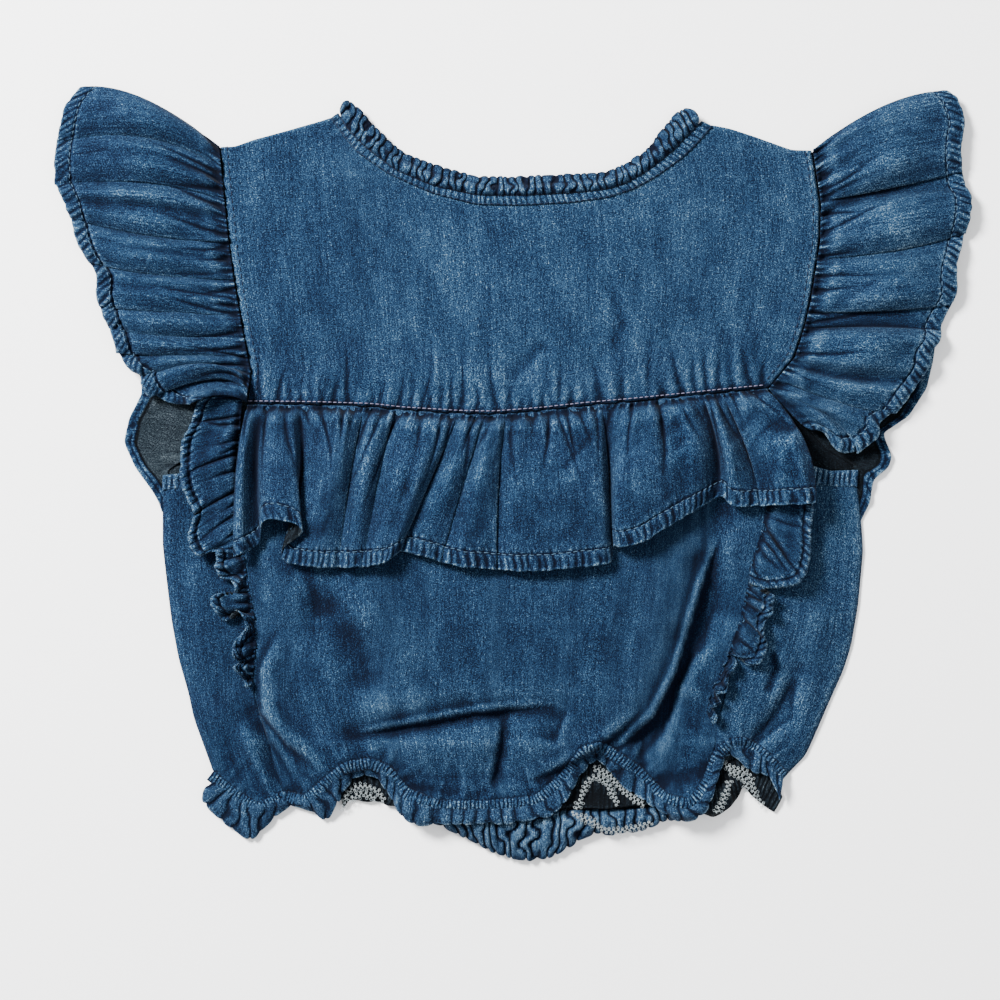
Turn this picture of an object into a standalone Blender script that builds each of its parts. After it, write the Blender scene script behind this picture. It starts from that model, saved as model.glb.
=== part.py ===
"""Baby blouse laid flat, front up: gathered neck frill, yoke, yoke ruffle, shoulder
flounces that run on down the princess seams, puffed body and a frilled elastic hem.
Every piece of cloth is a closed wall round a middle surface. Tables are in millimetres:
x to the right of the laid blouse, y towards the neck, z up from the surface it lies on."""
import bpy
import numpy as np

# ---------------------------------------------------------------- driving sizes, mm
WALL = 1.2              # cloth wall, every piece
GAP = 0.3               # air between neighbouring pieces
SEAM_SLIT = 0.2         # each panel stops this far short of its seam line
CASING_WIDTH = 3.4      # hem casing, across
NECK_WAVE = 1.5         # crest height of the neck frill
NECK_WAVES = 38         # gathers along the neck frill
NECK_FRILL_REST = 0.9   # the neck frill's free edge above the surface
CASING_DROP = 1.1       # hem casing's upper edge below the body's edge
FRILL_SEAM = 0.8        # hem frill's seam beyond the casing's lower edge
ARMHOLE_SEAM = 0.5      # back flounce's seam outside the back's outline
TOP_BACK = WALL         # the back panel lies on the surface
FRONT_LOW = TOP_BACK + GAP + WALL / 2.0     # lowest middle height of the front
DOME_POWER = 2.6        # higher is a flatter body with steeper sides
FOLD_DOME = 1.5         # folds are full where the puff is at least this high
ARM_LIFT = 1.0          # front above its lowest height along the armholes
ARM_LOW = 20.0          # y where the armholes' lift starts
ARM_LOW_EASE = 20.0     # it grows over this length
ARM_HIGH = 138.0        # y where it ends
ARM_HIGH_EASE = 16.0    # it falls over this length
CELL = 1.5              # cell of the relief that upper pieces are laid on
REACH = 3.0             # an upper piece clears everything this near
EASE_PASSES = 10        # times that steps in the relief are eased
MARKS = 7               # marks on the relief along each side of a grid cell
RELIEF_X = 200.0        # half the relief's span across
RELIEF_Y = 175.0        # half the relief's span along
FLOUNCE_BILLOW = 2.0    # flounces stand this much higher at mid width
YOKE_BILLOW = 1.2       # the yoke ruffle too

# ---------------------------------------------------------------- grid points a side
BACK_ACROSS = 15
ARMHOLE_POINTS = 9      # points of the back's outline that a flounce is sewn to
BACK_FLOUNCE_ACROSS = 3
SIDE_ACROSS = 6
SIDE_ALONG = 17
CENTER_ACROSS = 28
CENTER_ALONG = 19
YOKE_ALONG = 11
SHOULDER_POINTS = 4     # points of the yoke's upper edge on each shoulder
NECK_POINTS = 26        # points of its neck edge
CASING_POINTS = 57
SNAP_POINTS = 120       # points of the line that the hem frill is sewn to

# ---------------------------------------------------------------- ruffle sections
# share of the crest height at each line from the seam to the free edge
FLOUNCE_RISE = (0.25, 0.8, 1.0, 0.9, 0.8, 0.8)
YOKE_RISE = (0.25, 0.7, 0.9, 1.0, 0.9)
SEAM_RUFFLE_RISE = (0.3, 1.0, 0.9)
NECK_RISE = (0.4, 1.0, 1.0)
HEM_FRONT_RISE = (0.3, 0.9, 1.0)
HEM_BACK_RISE = (0.2, 0.8, 1.0)
CASING_RISE = (0.5, 1.0)
# grid steps from one row of a ruffle's table to the next
WIDE_STEPS = 4
NARROW_STEPS = 3
CASING_STEPS = 2

# ---------------------------------------------------------------- panel outlines (x, y)
YOKE_TOP = (
    (-119.7, 134.1), (-114.2, 134.1), (-106.0, 137.1), (-90.8, 141.2), (-76.7, 145.3),
    (-69.5, 136.3), (-57.0, 123.6), (-47.8, 116.6), (-36.1, 112.1), (-20.3, 109.7),
    (2.3, 110.3), (20.3, 111.3), (47.8, 114.6), (66.2, 123.6), (81.4, 137.1),
    (88.8, 141.7), (99.0, 138.4), (114.6, 132.8), (122.8, 132.6),
)
YOKE_NECK_FIRST = 4     # the neck edge's points in that outline
YOKE_NECK_LAST = 15
ARM_LEFT = (
    (-119.7, 134.1), (-117.9, 115.4), (-115.8, 94.3), (-113.4, 77.7), (-110.1, 58.4),
    (-106.8, 41.6), (-108.4, 28.5),
)
ARM_RIGHT = (
    (122.8, 132.6), (126.1, 110.5), (125.7, 94.9), (122.0, 71.1), (119.5, 60.5),
    (115.4, 47.8), (104.8, 35.1),
)
YOKE_SEAM = (
    (-108.4, 28.5), (-79.7, 28.1), (-56.8, 27.3), (-46.1, 26.0), (-24.0, 24.6),
    (-8.4, 24.2), (10.5, 25.6), (29.3, 27.7), (51.9, 29.7), (83.4, 33.0), (104.8, 35.1),
)
PRINCESS_LEFT = (
    (-108.4, 28.5), (-110.1, 9.6), (-109.7, -10.9), (-108.4, -34.6), (-106.0, -50.2),
    (-104.3, -67.0), (-106.0, -81.0), (-106.0, -91.2), (-101.9, -104.8), (-94.1, -130.6),
)
PRINCESS_RIGHT = (
    (104.8, 35.1), (108.0, 17.8), (106.8, -2.7), (102.7, -27.3), (97.0, -47.8),
    (92.9, -67.0), (87.5, -88.8), (83.4, -105.2), (83.0, -113.5),
)
BODY_HEM = (
    (-94.1, -130.6), (-85.1, -132.6), (-78.1, -126.1), (-68.7, -118.3), (-57.6, -116.6),
    (-49.4, -120.7), (-42.8, -129.4), (-29.7, -134.3), (-9.2, -134.3), (9.2, -132.6),
    (18.7, -125.1), (28.5, -111.5), (36.7, -109.9), (52.3, -120.4), (62.5, -131.2),
    (72.0, -133.3), (78.5, -125.5), (83.0, -113.5),
)
SIDE_LEFT = (
    (-143.7, -6.8), (-143.7, -29.3), (-142.1, -43.7), (-140.0, -60.5), (-137.1, -76.1),
    (-133.0, -90.4), (-131.0, -100.2), (-127.7, -109.3), (-122.8, -122.4),
)
SIDE_RIGHT = (
    (141.7, -5.5), (142.9, -14.1), (144.1, -31.8), (142.1, -53.5), (139.2, -70.7),
    (135.9, -81.0), (128.9, -96.6), (123.6, -108.9), (120.3, -116.2), (113.0, -123.5),
)
UNDERARM_LEFT = (
    (-143.7, -6.8), (-135.1, -5.9), (-124.0, -1.8), (-115.8, 5.5), (-110.1, 14.6),
)
UNDERARM_RIGHT = (
    (108.4, 16.2), (115.8, 5.5), (124.0, -4.3), (133.5, -5.5), (141.7, -5.5),
)
BINDING_LEFT_TOP = (
    (-143.5, -0.8), (-135.1, 0.0), (-124.8, 3.9), (-117.1, 10.5), (-112.1, 20.3),
)
BINDING_RIGHT_TOP = (
    (110.5, 21.9), (117.1, 10.9), (123.2, 3.1), (130.6, 1.0), (142.1, 1.4),
)
SIDE_LEFT_HEM = ((-122.8, -122.4), (-113.8, -129.8), (-104.3, -135.9), (-94.1, -130.6))
SIDE_RIGHT_HEM = (
    (83.0, -113.5), (88.4, -108.9), (95.3, -108.2), (103.5, -113.4), (113.0, -123.5),
)
NECK_BINDING_HIGH = (
    (-72.4, 147.4), (-66.2, 140.4), (-57.0, 132.0), (-48.6, 125.3), (-36.1, 119.5),
    (-22.8, 115.8), (-10.9, 113.8), (2.3, 114.6), (20.3, 115.8), (40.4, 117.9),
    (53.5, 123.6), (66.2, 133.0), (76.5, 144.5),
)
NECK_FRILL_EDGE = (
    (-68.1, 153.3), (-57.2, 141.2), (-47.8, 132.2), (-37.9, 128.1), (-26.0, 124.0),
    (-14.1, 121.2), (2.3, 122.0), (11.7, 122.8), (31.0, 123.2), (40.4, 122.8),
    (48.6, 128.1), (56.0, 133.0), (70.7, 150.5),
)
BACK_OUTLINE_LEFT = (
    (-118.0, 132.6), (-116.2, 94.3), (-113.8, 77.7), (-110.5, 58.4), (-107.5, 44.0),
    (-117.0, 24.0), (-131.0, 10.0), (-142.5, 2.0), (-142.7, -12.0), (-142.7, -29.3),
    (-141.1, -43.7), (-139.0, -60.5), (-136.1, -76.1), (-132.0, -90.4), (-130.0, -100.2),
    (-126.7, -109.3), (-121.8, -122.4),
)
BACK_OUTLINE_RIGHT = (
    (121.2, 131.0), (124.6, 110.5), (124.2, 94.9), (120.6, 71.1), (115.0, 47.8),
    (118.0, 24.0), (130.0, 11.0), (141.2, 4.0), (142.2, -12.0), (143.1, -31.8),
    (141.1, -53.5), (138.2, -70.7), (134.9, -81.0), (127.9, -96.6), (122.6, -108.9),
    (119.3, -116.2), (111.8, -124.6),
)
BACK_NECK = (
    (-113.5, 132.6), (-105.0, 135.6), (-90.0, 139.6), (-77.5, 143.0), (-60.0, 121.0),
    (-36.1, 106.0), (0.0, 103.0), (45.0, 107.0), (68.0, 119.0), (88.0, 139.5),
    (98.0, 136.8), (114.0, 131.2),
)
BACK_HEM = (
    (-104.3, -133.5), (-92.0, -131.0), (-82.0, -134.0), (-58.0, -134.5), (-40.0, -138.0),
    (-8.0, -140.5), (20.0, -140.0), (50.0, -139.5), (66.0, -136.5), (80.0, -133.0),
    (96.0, -128.5),
)

# ---------------------------------------------------------------- body heights
# along the body: y, left edge x, right edge x, puff at the middle (mm over FRONT_LOW)
PUFF = (
    (160.0, -119.7, 122.8, 0.6),
    (110.0, -118.0, 126.1, 1.2),
    (60.0, -110.0, 119.0, 1.8),
    (30.0, -108.0, 106.0, 2.0),
    (0.0, -143.7, 142.0, 3.4),
    (-30.0, -143.7, 144.1, 6.6),
    (-60.0, -140.0, 141.0, 8.6),
    (-90.0, -133.0, 131.0, 8.8),
    (-110.0, -127.0, 123.0, 7.4),
    (-124.0, -121.0, 113.0, 3.6),
    (-140.0, -110.0, 100.0, 1.6),
)
# folds of the front: from x, y to x, y, half-width, height (ridges up, troughs down)
FOLDS = (
    (-103.0, 78.0, -92.0, 44.0, 5.0, -1.0),
    (-94.0, 86.0, -76.0, 44.0, 6.0, 1.3),
    (12.0, 51.0, -3.0, 36.0, 5.0, -1.1),
    (38.0, 78.0, 45.0, 61.0, 5.0, -1.0),
    (45.0, 61.0, 35.0, 44.0, 5.0, -1.2),
    (91.0, 56.0, 84.0, 37.0, 5.0, -1.2),
    (101.0, 134.0, 111.0, 116.0, 5.0, -0.8),
    (-102.0, -76.0, -101.0, -108.0, 8.0, 4.2),
    (-101.0, -109.0, -72.0, -121.0, 8.0, 3.0),
    (-87.0, -40.0, -83.0, -63.0, 7.0, -3.0),
    (-76.0, -40.0, -62.0, -57.0, 8.0, 2.6),
    (-62.0, -57.0, -41.0, -94.0, 8.0, 2.2),
    (-66.0, -107.0, -45.0, -102.0, 5.0, -3.4),
    (-45.0, -102.0, -20.0, -97.0, 6.0, -3.6),
    (-20.0, -97.0, 20.0, -95.0, 6.0, -2.6),
    (-3.0, -97.0, -6.0, -115.0, 4.0, -2.4),
    (-6.0, -115.0, -10.0, -131.0, 4.0, -1.6),
    (86.0, -16.0, 78.0, -37.0, 6.0, -3.4),
    (78.0, -37.0, 71.0, -67.0, 6.0, -4.6),
    (71.0, -67.0, 54.0, -106.0, 6.0, -4.4),
    (54.0, -106.0, 36.0, -117.0, 5.0, -2.4),
    (88.0, -64.0, 72.0, -88.0, 6.0, 3.0),
    (72.0, -90.0, 61.0, -110.0, 5.0, 2.6),
    (68.0, -93.0, 52.0, -120.0, 4.0, -3.2),
    (117.0, -82.0, 112.0, -98.0, 5.0, -3.2),
    (112.0, -98.0, 97.0, -113.0, 5.0, -3.4),
    (126.0, -60.0, 118.0, -96.0, 6.0, 1.6),
    (-119.0, -114.0, -109.0, -134.0, 5.0, -2.0),
    (-106.0, -98.0, -90.0, -130.0, 4.0, -3.0),
    (-132.0, -40.0, -124.0, -100.0, 7.0, 1.6),
)

# ---------------------------------------------------------------- ruffle sections
# one row a fold crest: seam x, seam y, edge x, edge y, crest height
FLOUNCE_LEFT = (
    (-119.9, 133.9, -177.7, 158.5, 1.0),
    (-119.5, 129.4, -186.3, 140.4, 2.2),
    (-118.9, 123.6, -188.0, 123.6, 1.4),
    (-118.3, 117.1, -184.7, 113.8, 3.2),
    (-117.5, 109.7, -181.4, 107.2, 1.6),
    (-116.7, 101.5, -178.6, 101.1, 3.6),
    (-116.0, 93.3, -175.7, 90.8, 2.0),
    (-114.9, 85.1, -172.4, 82.6, 4.4),
    (-113.7, 76.9, -169.9, 77.3, 2.4),
    (-112.3, 68.7, -169.5, 69.1, 4.8),
    (-110.9, 60.5, -168.7, 60.9, 2.2),
    (-109.6, 53.1, -163.8, 53.5, 5.2),
    (-108.3, 46.5, -159.3, 47.8, 3.0),
    (-107.4, 40.8, -151.9, 40.4, 5.8),
    (-108.4, 35.9, -144.5, 31.0, 3.6),
    (-109.2, 28.8, -129.0, 28.8, 3.0),
)
FLOUNCE_LEFT_FOLD = (
    (-119.9, 133.9), (-125.3, 141.2), (-135.1, 145.8), (-151.9, 154.2), (-172.8, 157.2),
    (-177.7, 158.5),
)
FLOUNCE_RIGHT = (
    (123.4, 131.8, 179.0, 157.2, 1.0),
    (124.1, 127.7, 185.1, 145.8, 2.6),
    (125.1, 122.0, 183.9, 131.8, 1.4),
    (126.0, 115.4, 185.9, 123.6, 2.8),
    (126.6, 108.9, 188.0, 114.6, 1.8),
    (126.6, 101.5, 187.6, 105.2, 3.8),
    (126.2, 94.1, 184.7, 91.6, 2.0),
    (125.0, 85.9, 182.7, 81.0, 3.4),
    (123.7, 78.5, 180.2, 69.5, 2.6),
    (122.5, 71.1, 175.7, 61.3, 4.6),
    (120.9, 63.8, 172.8, 50.6, 2.4),
    (118.8, 56.4, 168.7, 40.0, 5.0),
    (116.8, 49.8, 160.9, 30.1, 3.2),
    (114.3, 44.3, 149.4, 21.9, 5.6),
    (111.4, 39.5, 143.0, 14.6, 3.4),
    (108.6, 36.4, 133.5, 12.8, 3.0),
)
FLOUNCE_RIGHT_FOLD = (
    (123.4, 131.8), (126.3, 133.7), (133.5, 141.2), (147.4, 149.0), (163.0, 153.5),
    (179.0, 157.2),
)
YOKE_RUFFLE = (
    (-107.6, 27.5, -112.5, -33.8, 2.0),
    (-101.5, 27.5, -103.0, -26.0, 2.2),
    (-95.2, 27.5, -98.4, -18.6, 2.4),
    (-90.2, 27.5, -91.4, -26.4, 2.0),
    (-85.4, 27.4, -87.4, -35.4, 2.8),
    (-79.7, 27.3, -83.0, -36.7, 3.0),
    (-73.2, 27.1, -74.0, -38.3, 4.2),
    (-66.6, 26.9, -62.5, -37.9, 2.6),
    (-60.9, 26.6, -52.3, -35.5, 3.8),
    (-54.3, 26.0, -46.4, -30.5, 4.8),
    (-47.8, 25.3, -39.8, -32.8, 2.6),
    (-40.4, 24.8, -31.2, -35.5, 4.2),
    (-32.2, 24.3, -20.7, -37.9, 2.4),
    (-24.0, 23.8, -9.2, -39.6, 4.8),
    (-15.8, 23.6, 2.3, -39.6, 3.0),
    (-6.8, 23.6, 13.3, -39.2, 4.4),
    (2.3, 24.1, 22.8, -38.3, 2.6),
    (11.3, 24.9, 31.0, -37.5, 3.2),
    (26.9, 26.6, 39.4, -36.8, 4.2),
    (36.2, 27.3, 43.8, -27.3, 2.2),
    (44.6, 28.1, 52.3, -24.4, 3.8),
    (52.8, 29.0, 63.8, -17.4, 2.6),
    (60.0, 29.8, 72.8, -12.5, 3.6),
    (67.2, 30.6, 80.2, -5.9, 5.0),
    (75.4, 31.4, 86.3, -12.9, 2.6),
    (83.6, 32.2, 95.0, -12.9, 3.4),
    (91.8, 33.3, 104.0, -12.7, 2.8),
    (98.2, 34.0, 113.0, -12.5, 3.6),
    (104.8, 34.4, 122.8, -11.7, 2.0),
)
YOKE_RUFFLE_RIGHT_END = (
    (104.8, 34.4), (111.3, 24.8), (117.9, 15.0), (122.4, 3.5), (122.8, -11.7),
)
SEAM_RUFFLE_LEFT = (
    (-110.5, 32.5, -129.8, 31.0, 2.0),
    (-111.7, 21.3, -133.9, 20.3, 3.2),
    (-111.7, 11.3, -135.5, 10.9, 3.0),
    (-111.7, 2.3, -135.5, 0.6, 3.4),
    (-111.3, -6.8, -133.9, -8.8, 3.2),
    (-110.5, -15.0, -129.8, -17.0, 3.0),
    (-109.7, -23.2, -132.2, -25.6, 3.4),
    (-108.9, -31.4, -128.9, -33.8, 3.2),
    (-108.2, -37.9, -120.7, -38.7, 2.6),
    (-107.2, -44.5, -122.4, -46.9, 3.2),
    (-106.2, -51.9, -121.2, -53.5, 2.8),
    (-105.2, -59.2, -115.8, -60.9, 3.0),
    (-104.8, -66.6, -114.6, -68.3, 2.6),
    (-105.2, -73.2, -116.2, -74.8, 3.0),
    (-106.0, -79.7, -114.2, -80.6, 2.6),
    (-106.2, -86.3, -110.3, -87.9, 2.0),
)
SEAM_RUFFLE_RIGHT = (
    (107.4, 14.2, 117.9, 13.7, 2.0),
    (107.4, 6.4, 120.3, 4.7, 2.6),
    (106.6, -3.5, 122.0, -5.1, 3.0),
    (104.4, -13.3, 122.0, -15.0, 3.2),
    (102.3, -22.3, 123.2, -27.3, 3.4),
    (100.2, -30.5, 121.2, -36.3, 3.6),
    (98.2, -37.9, 117.1, -43.7, 3.2),
    (96.6, -44.5, 107.4, -48.6, 3.0),
    (95.3, -51.0, 106.0, -54.3, 3.2),
    (94.1, -58.4, 104.8, -61.7, 2.8),
    (92.5, -65.0, 103.5, -69.9, 3.0),
    (90.0, -70.7, 99.8, -76.5, 3.2),
    (87.5, -76.5, 94.9, -81.0, 3.0),
    (85.1, -82.2, 91.6, -86.3, 3.2),
    (82.6, -88.8, 89.2, -92.9, 2.8),
    (80.2, -95.3, 85.9, -99.4, 3.0),
    (80.0, -101.9, 83.8, -104.3, 2.0),
)
# hem frill, front: casing edge x, y, free edge x, y, crest height
HEM_FRILL_FRONT = (
    (-122.8, -126.9, -126.1, -128.9, 1.6),
    (-119.1, -129.8, -126.5, -135.1, 2.2),
    (-115.0, -132.6, -120.7, -141.2, 1.8),
    (-110.5, -135.1, -113.4, -147.4, 2.4),
    (-105.6, -136.3, -107.2, -149.9, 2.0),
    (-101.1, -135.9, -100.7, -144.5, 2.2),
    (-96.1, -134.7, -94.9, -138.4, 1.6),
    (-90.4, -133.9, -89.2, -136.7, 1.4),
    (-85.5, -133.5, -82.6, -138.8, 1.8),
    (-81.0, -131.4, -76.1, -142.1, 2.2),
    (-76.9, -128.1, -72.4, -136.3, 1.8),
    (-72.0, -124.0, -68.7, -128.9, 2.0),
    (-66.6, -120.7, -64.2, -124.8, 1.6),
    (-58.0, -119.9, -57.2, -124.0, 1.8),
    (-49.8, -124.4, -49.8, -131.8, 2.2),
    (-46.1, -129.8, -46.1, -138.8, 1.8),
    (-40.4, -134.7, -40.8, -142.9, 2.0),
    (-33.0, -137.1, -33.0, -143.3, 1.6),
    (-24.8, -138.4, -24.8, -143.3, 2.0),
    (-16.6, -138.4, -16.6, -142.9, 1.6),
    (-8.4, -138.4, -8.4, -142.9, 2.0),
    (-0.2, -138.0, 0.2, -142.5, 1.6),
    (7.2, -137.1, 8.0, -141.2, 2.0),
    (13.7, -134.7, 15.4, -140.0, 1.6),
    (18.7, -130.6, 20.7, -135.5, 2.0),
    (23.2, -124.8, 25.2, -128.5, 1.6),
    (27.7, -118.3, 29.7, -121.2, 2.0),
    (32.2, -114.6, 33.0, -117.9, 1.6),
    (37.1, -114.6, 37.1, -118.7, 2.0),
    (43.3, -118.3, 42.0, -124.8, 1.6),
    (49.8, -123.2, 48.6, -130.2, 2.0),
    (55.6, -128.9, 55.1, -134.3, 1.6),
    (61.3, -134.3, 61.3, -138.0, 2.0),
    (67.0, -137.1, 69.5, -142.1, 2.2),
    (72.8, -137.1, 76.9, -139.2, 2.0),
    (77.7, -132.6, 81.4, -132.2, 2.0),
    (81.4, -124.8, 84.7, -123.2, 1.8),
    (84.7, -115.8, 87.5, -116.2, 1.6),
    (90.4, -112.5, 91.6, -116.2, 1.8),
    (95.7, -113.0, 96.1, -120.3, 1.6),
    (100.7, -115.4, 99.8, -122.4, 1.2),
    (104.8, -118.7, 104.3, -123.6, 0.8),
    (108.0, -122.0, 106.8, -126.9, 0.8),
    (110.9, -124.8, 109.7, -133.9, 0.8),
)
HEM_CASING_BACK = (
    (-71.0, -128.5, -69.5, -137.5, 0.4),
    (-67.5, -124.5, -66.0, -134.0, 0.4),
    (-60.0, -123.0, -59.5, -135.0, 0.4),
    (-52.5, -124.5, -54.0, -134.0, 0.4),
    (-47.0, -129.0, -50.5, -136.5, 0.4),
    (-34.0, -127.0, -34.0, -135.0, 0.4),
    (-12.0, -127.0, -12.0, -135.5, 0.4),
    (12.0, -126.0, 12.0, -135.5, 0.4),
    (26.0, -123.0, 24.5, -136.5, 0.4),
    (33.5, -119.5, 33.0, -137.0, 0.4),
    (45.0, -125.0, 42.0, -137.0, 0.4),
    (58.0, -128.0, 56.0, -135.5, 0.4),
    (75.6, -123.6, 75.6, -138.4, 0.4),
    (81.8, -120.7, 83.4, -140.4, 0.4),
    (88.4, -118.7, 92.0, -133.5, 0.4),
    (94.9, -120.3, 94.9, -128.9, 0.4),
    (100.2, -125.3, 98.2, -132.2, 0.4),
    (104.8, -130.2, 103.1, -136.3, 0.4),
    (109.3, -135.5, 107.6, -139.2, 0.4),
)
HEM_FRILL_BACK = (
    (-44.0, -138.8, -44.0, -142.0, 1.0),
    (-33.0, -140.1, -31.0, -144.0, 1.6),
    (-25.0, -140.9, -21.0, -148.5, 2.2),
    (-16.0, -141.3, -12.5, -153.0, 2.4),
    (-7.5, -141.6, -5.5, -156.2, 2.4),
    (1.0, -141.6, 1.5, -157.8, 2.6),
    (9.5, -141.4, 8.5, -158.3, 2.4),
    (17.5, -141.2, 15.5, -157.4, 2.6),
    (24.0, -141.0, 22.5, -153.5, 2.4),
    (31.5, -140.9, 31.0, -148.3, 2.2),
    (40.5, -140.8, 41.0, -147.8, 2.0),
    (49.5, -140.5, 50.5, -147.0, 1.8),
    (58.0, -139.2, 58.5, -144.0, 1.4),
    (70.0, -136.6, 71.0, -139.8, 0.8),
    (86.0, -132.6, 87.0, -135.8, 0.6),
)
BACK_FLOUNCE_LEFT_EDGE = (
    (-176.5, 156.4), (-184.7, 140.4), (-185.5, 128.5), (-182.2, 113.8), (-176.9, 101.1),
    (-173.6, 87.5), (-168.3, 75.2), (-165.8, 60.9), (-158.5, 49.8), (-152.7, 39.6),
    (-152.3, 32.6), (-157.6, 22.8), (-159.7, 12.9), (-155.2, 2.7), (-148.6, -6.4),
    (-145.8, -10.9), (-144.1, -15.8),
)
BACK_FLOUNCE_RIGHT_EDGE = (
    (177.7, 155.6), (181.8, 140.8), (181.0, 128.5), (184.3, 114.6), (181.4, 95.7),
    (178.6, 79.3), (175.3, 63.3), (174.0, 54.7), (172.8, 45.7), (170.4, 35.1),
    (163.0, 23.6), (152.3, 16.6), (156.0, 7.2), (154.8, 2.7), (148.2, -2.7),
    (147.0, -12.1), (143.3, -19.5),
)

# ---------------------------------------------------------------- colours
DENIM = (0.045, 0.125, 0.26, 1.0)
DENIM_WORN = (0.085, 0.19, 0.33, 1.0)
DENIM_INSIDE = (0.11, 0.14, 0.17, 1.0)
CLOTH_ROUGHNESS = 0.92


def resampled(points, count):
    """The polyline with `count` points evenly spread along its length."""
    line = np.array(points, dtype=float)
    step = np.sqrt((np.diff(line, axis=0) ** 2).sum(axis=1))
    run = np.concatenate(([0.0], np.cumsum(step)))
    want = np.linspace(0.0, run[-1], count)
    return np.stack([np.interp(want, run, line[:, k]) for k in range(line.shape[1])], axis=1)


def eased(rows, steps):
    """Rows of a table joined by a smooth curve, `steps` intervals between two rows."""
    table = np.array(rows, dtype=float)
    last = len(table) - 1
    out = []
    for k in range(last * steps + 1):
        i = min(k // steps, last - 1)
        t = k / steps - i
        p0 = table[max(i - 1, 0)]
        p1 = table[i]
        p2 = table[i + 1]
        p3 = table[min(i + 2, last)]
        bend = (2 * p0 - 5 * p1 + 4 * p2 - p3) * t ** 2
        twist = (3 * p1 - p0 - 3 * p2 + p3) * t ** 3
        out.append(0.5 * (2 * p1 + (p2 - p0) * t + bend + twist))
    return np.array(out)


def patch(low, high, start, end):
    """Plan of a sheet stretched between four outlines that meet at their ends."""
    u = np.linspace(0.0, 1.0, len(low))[:, None, None]
    v = np.linspace(0.0, 1.0, len(start))[None, :, None]
    across = (1 - v) * low[:, None, :] + v * high[:, None, :]
    along = (1 - u) * start[None, :, :] + u * end[None, :, :]
    ends = (1 - v) * ((1 - u) * low[0] + u * low[-1])
    ends = ends + v * ((1 - u) * high[0] + u * high[-1])
    return across + along - ends


def set_off(line, by):
    """An outline moved `by` square to itself, to the left of its run."""
    line = np.array(line)
    way = np.gradient(line, axis=0)
    way = way / np.linalg.norm(way, axis=1, keepdims=True)
    return line + np.stack((-way[:, 1], way[:, 0]), axis=1) * by


def nearest_on(line, points):
    """For each point, the nearest place on a polyline."""
    found = []
    for p in points:
        step = line[1:] - line[:-1]
        t = ((p - line[:-1]) * step).sum(axis=1) / (step ** 2).sum(axis=1)
        place = line[:-1] + step * np.clip(t, 0.0, 1.0)[:, None]
        found.append(place[np.argmin(((place - p) ** 2).sum(axis=1))])
    return np.array(found)


def capsule_distance(x, y, x0, y0, x1, y1):
    """Distance in plan from (x, y) to the fold line."""
    dx = x1 - x0
    dy = y1 - y0
    t = ((x - x0) * dx + (y - y0) * dy) / (dx * dx + dy * dy)
    near = np.clip(t, 0.0, 1.0)
    return np.hypot(x - x0 - near * dx, y - y0 - near * dy)


def front_height(x, y):
    """Middle height of the front's panels: puff, then folds, never below FRONT_LOW."""
    table = np.array(PUFF)[::-1]
    left = np.interp(y, table[:, 0], table[:, 1])
    right = np.interp(y, table[:, 0], table[:, 2])
    puff = np.interp(y, table[:, 0], table[:, 3])
    across = np.clip((2 * x - left - right) / (right - left), -1.0, 1.0)
    dome = puff * (1 - np.abs(across) ** DOME_POWER)
    height = dome
    for x0, y0, x1, y1, half_width, rise in FOLDS:
        away = capsule_distance(x, y, x0, y0, x1, y1) / half_width
        height = height + rise * np.exp(-away ** 2) * np.minimum(1.0, dome / FOLD_DOME)
    arm = np.clip((y - ARM_LOW) / ARM_LOW_EASE, 0.0, 1.0)
    arm = arm * np.clip((ARM_HIGH - y) / ARM_HIGH_EASE, 0.0, 1.0)
    return FRONT_LOW + arm * ARM_LIFT + np.maximum(height, 0.0)


class Relief:
    """Top height of laid pieces on a square raster, to lay the next piece on."""

    def __init__(self):
        self.nx = int(2 * RELIEF_X / CELL) + 1
        self.ny = int(2 * RELIEF_Y / CELL) + 1
        self.top = np.zeros((self.nx, self.ny))

    def add(self, points):
        """Marks the raster under a laid grid of points with their top height."""
        for a in np.linspace(0.0, 1.0, MARKS):
            for b in np.linspace(0.0, 1.0, MARKS):
                p = (1 - a) * (1 - b) * points[:-1, :-1] + a * (1 - b) * points[1:, :-1]
                p = p + (1 - a) * b * points[:-1, 1:] + a * b * points[1:, 1:]
                i = np.rint((p[..., 0] + RELIEF_X) / CELL).astype(int).ravel()
                j = np.rint((p[..., 1] + RELIEF_Y) / CELL).astype(int).ravel()
                np.maximum.at(self.top, (i, j), p[..., 2].ravel())

    def settled(self, x, y):
        """Height that a sheet over (x, y) rests on, eased over steps in the relief."""
        reach = int(round(REACH / CELL))
        high = self.top.copy()
        for _ in range(reach):
            high = spread(high, np.maximum.reduce)
        soft = high.copy()
        for _ in range(EASE_PASSES):
            soft = np.maximum(high, spread(soft, lambda layers: sum(layers) / len(layers)))
        fx = (x + RELIEF_X) / CELL
        fy = (y + RELIEF_Y) / CELL
        i = np.clip(fx.astype(int), 0, self.nx - 2)
        j = np.clip(fy.astype(int), 0, self.ny - 2)
        a = fx - i
        b = fy - j
        low = (1 - a) * soft[i, j] + a * soft[i + 1, j]
        top = (1 - a) * soft[i, j + 1] + a * soft[i + 1, j + 1]
        return (1 - b) * low + b * top


def spread(raster, join):
    """Joins each cell of a raster with its eight neighbours."""
    wide = np.pad(raster, 1, mode="edge")
    layers = []
    for i in range(3):
        for j in range(3):
            layers.append(wide[i:i + raster.shape[0], j:j + raster.shape[1]])
    return join(layers)


LAID = {}


def relief_of(*names):
    """Relief of the named pieces that are laid already."""
    relief = Relief()
    for name in names:
        relief.add(LAID[name] + np.array((0.0, 0.0, WALL / 2.0)))
    return relief


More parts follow.
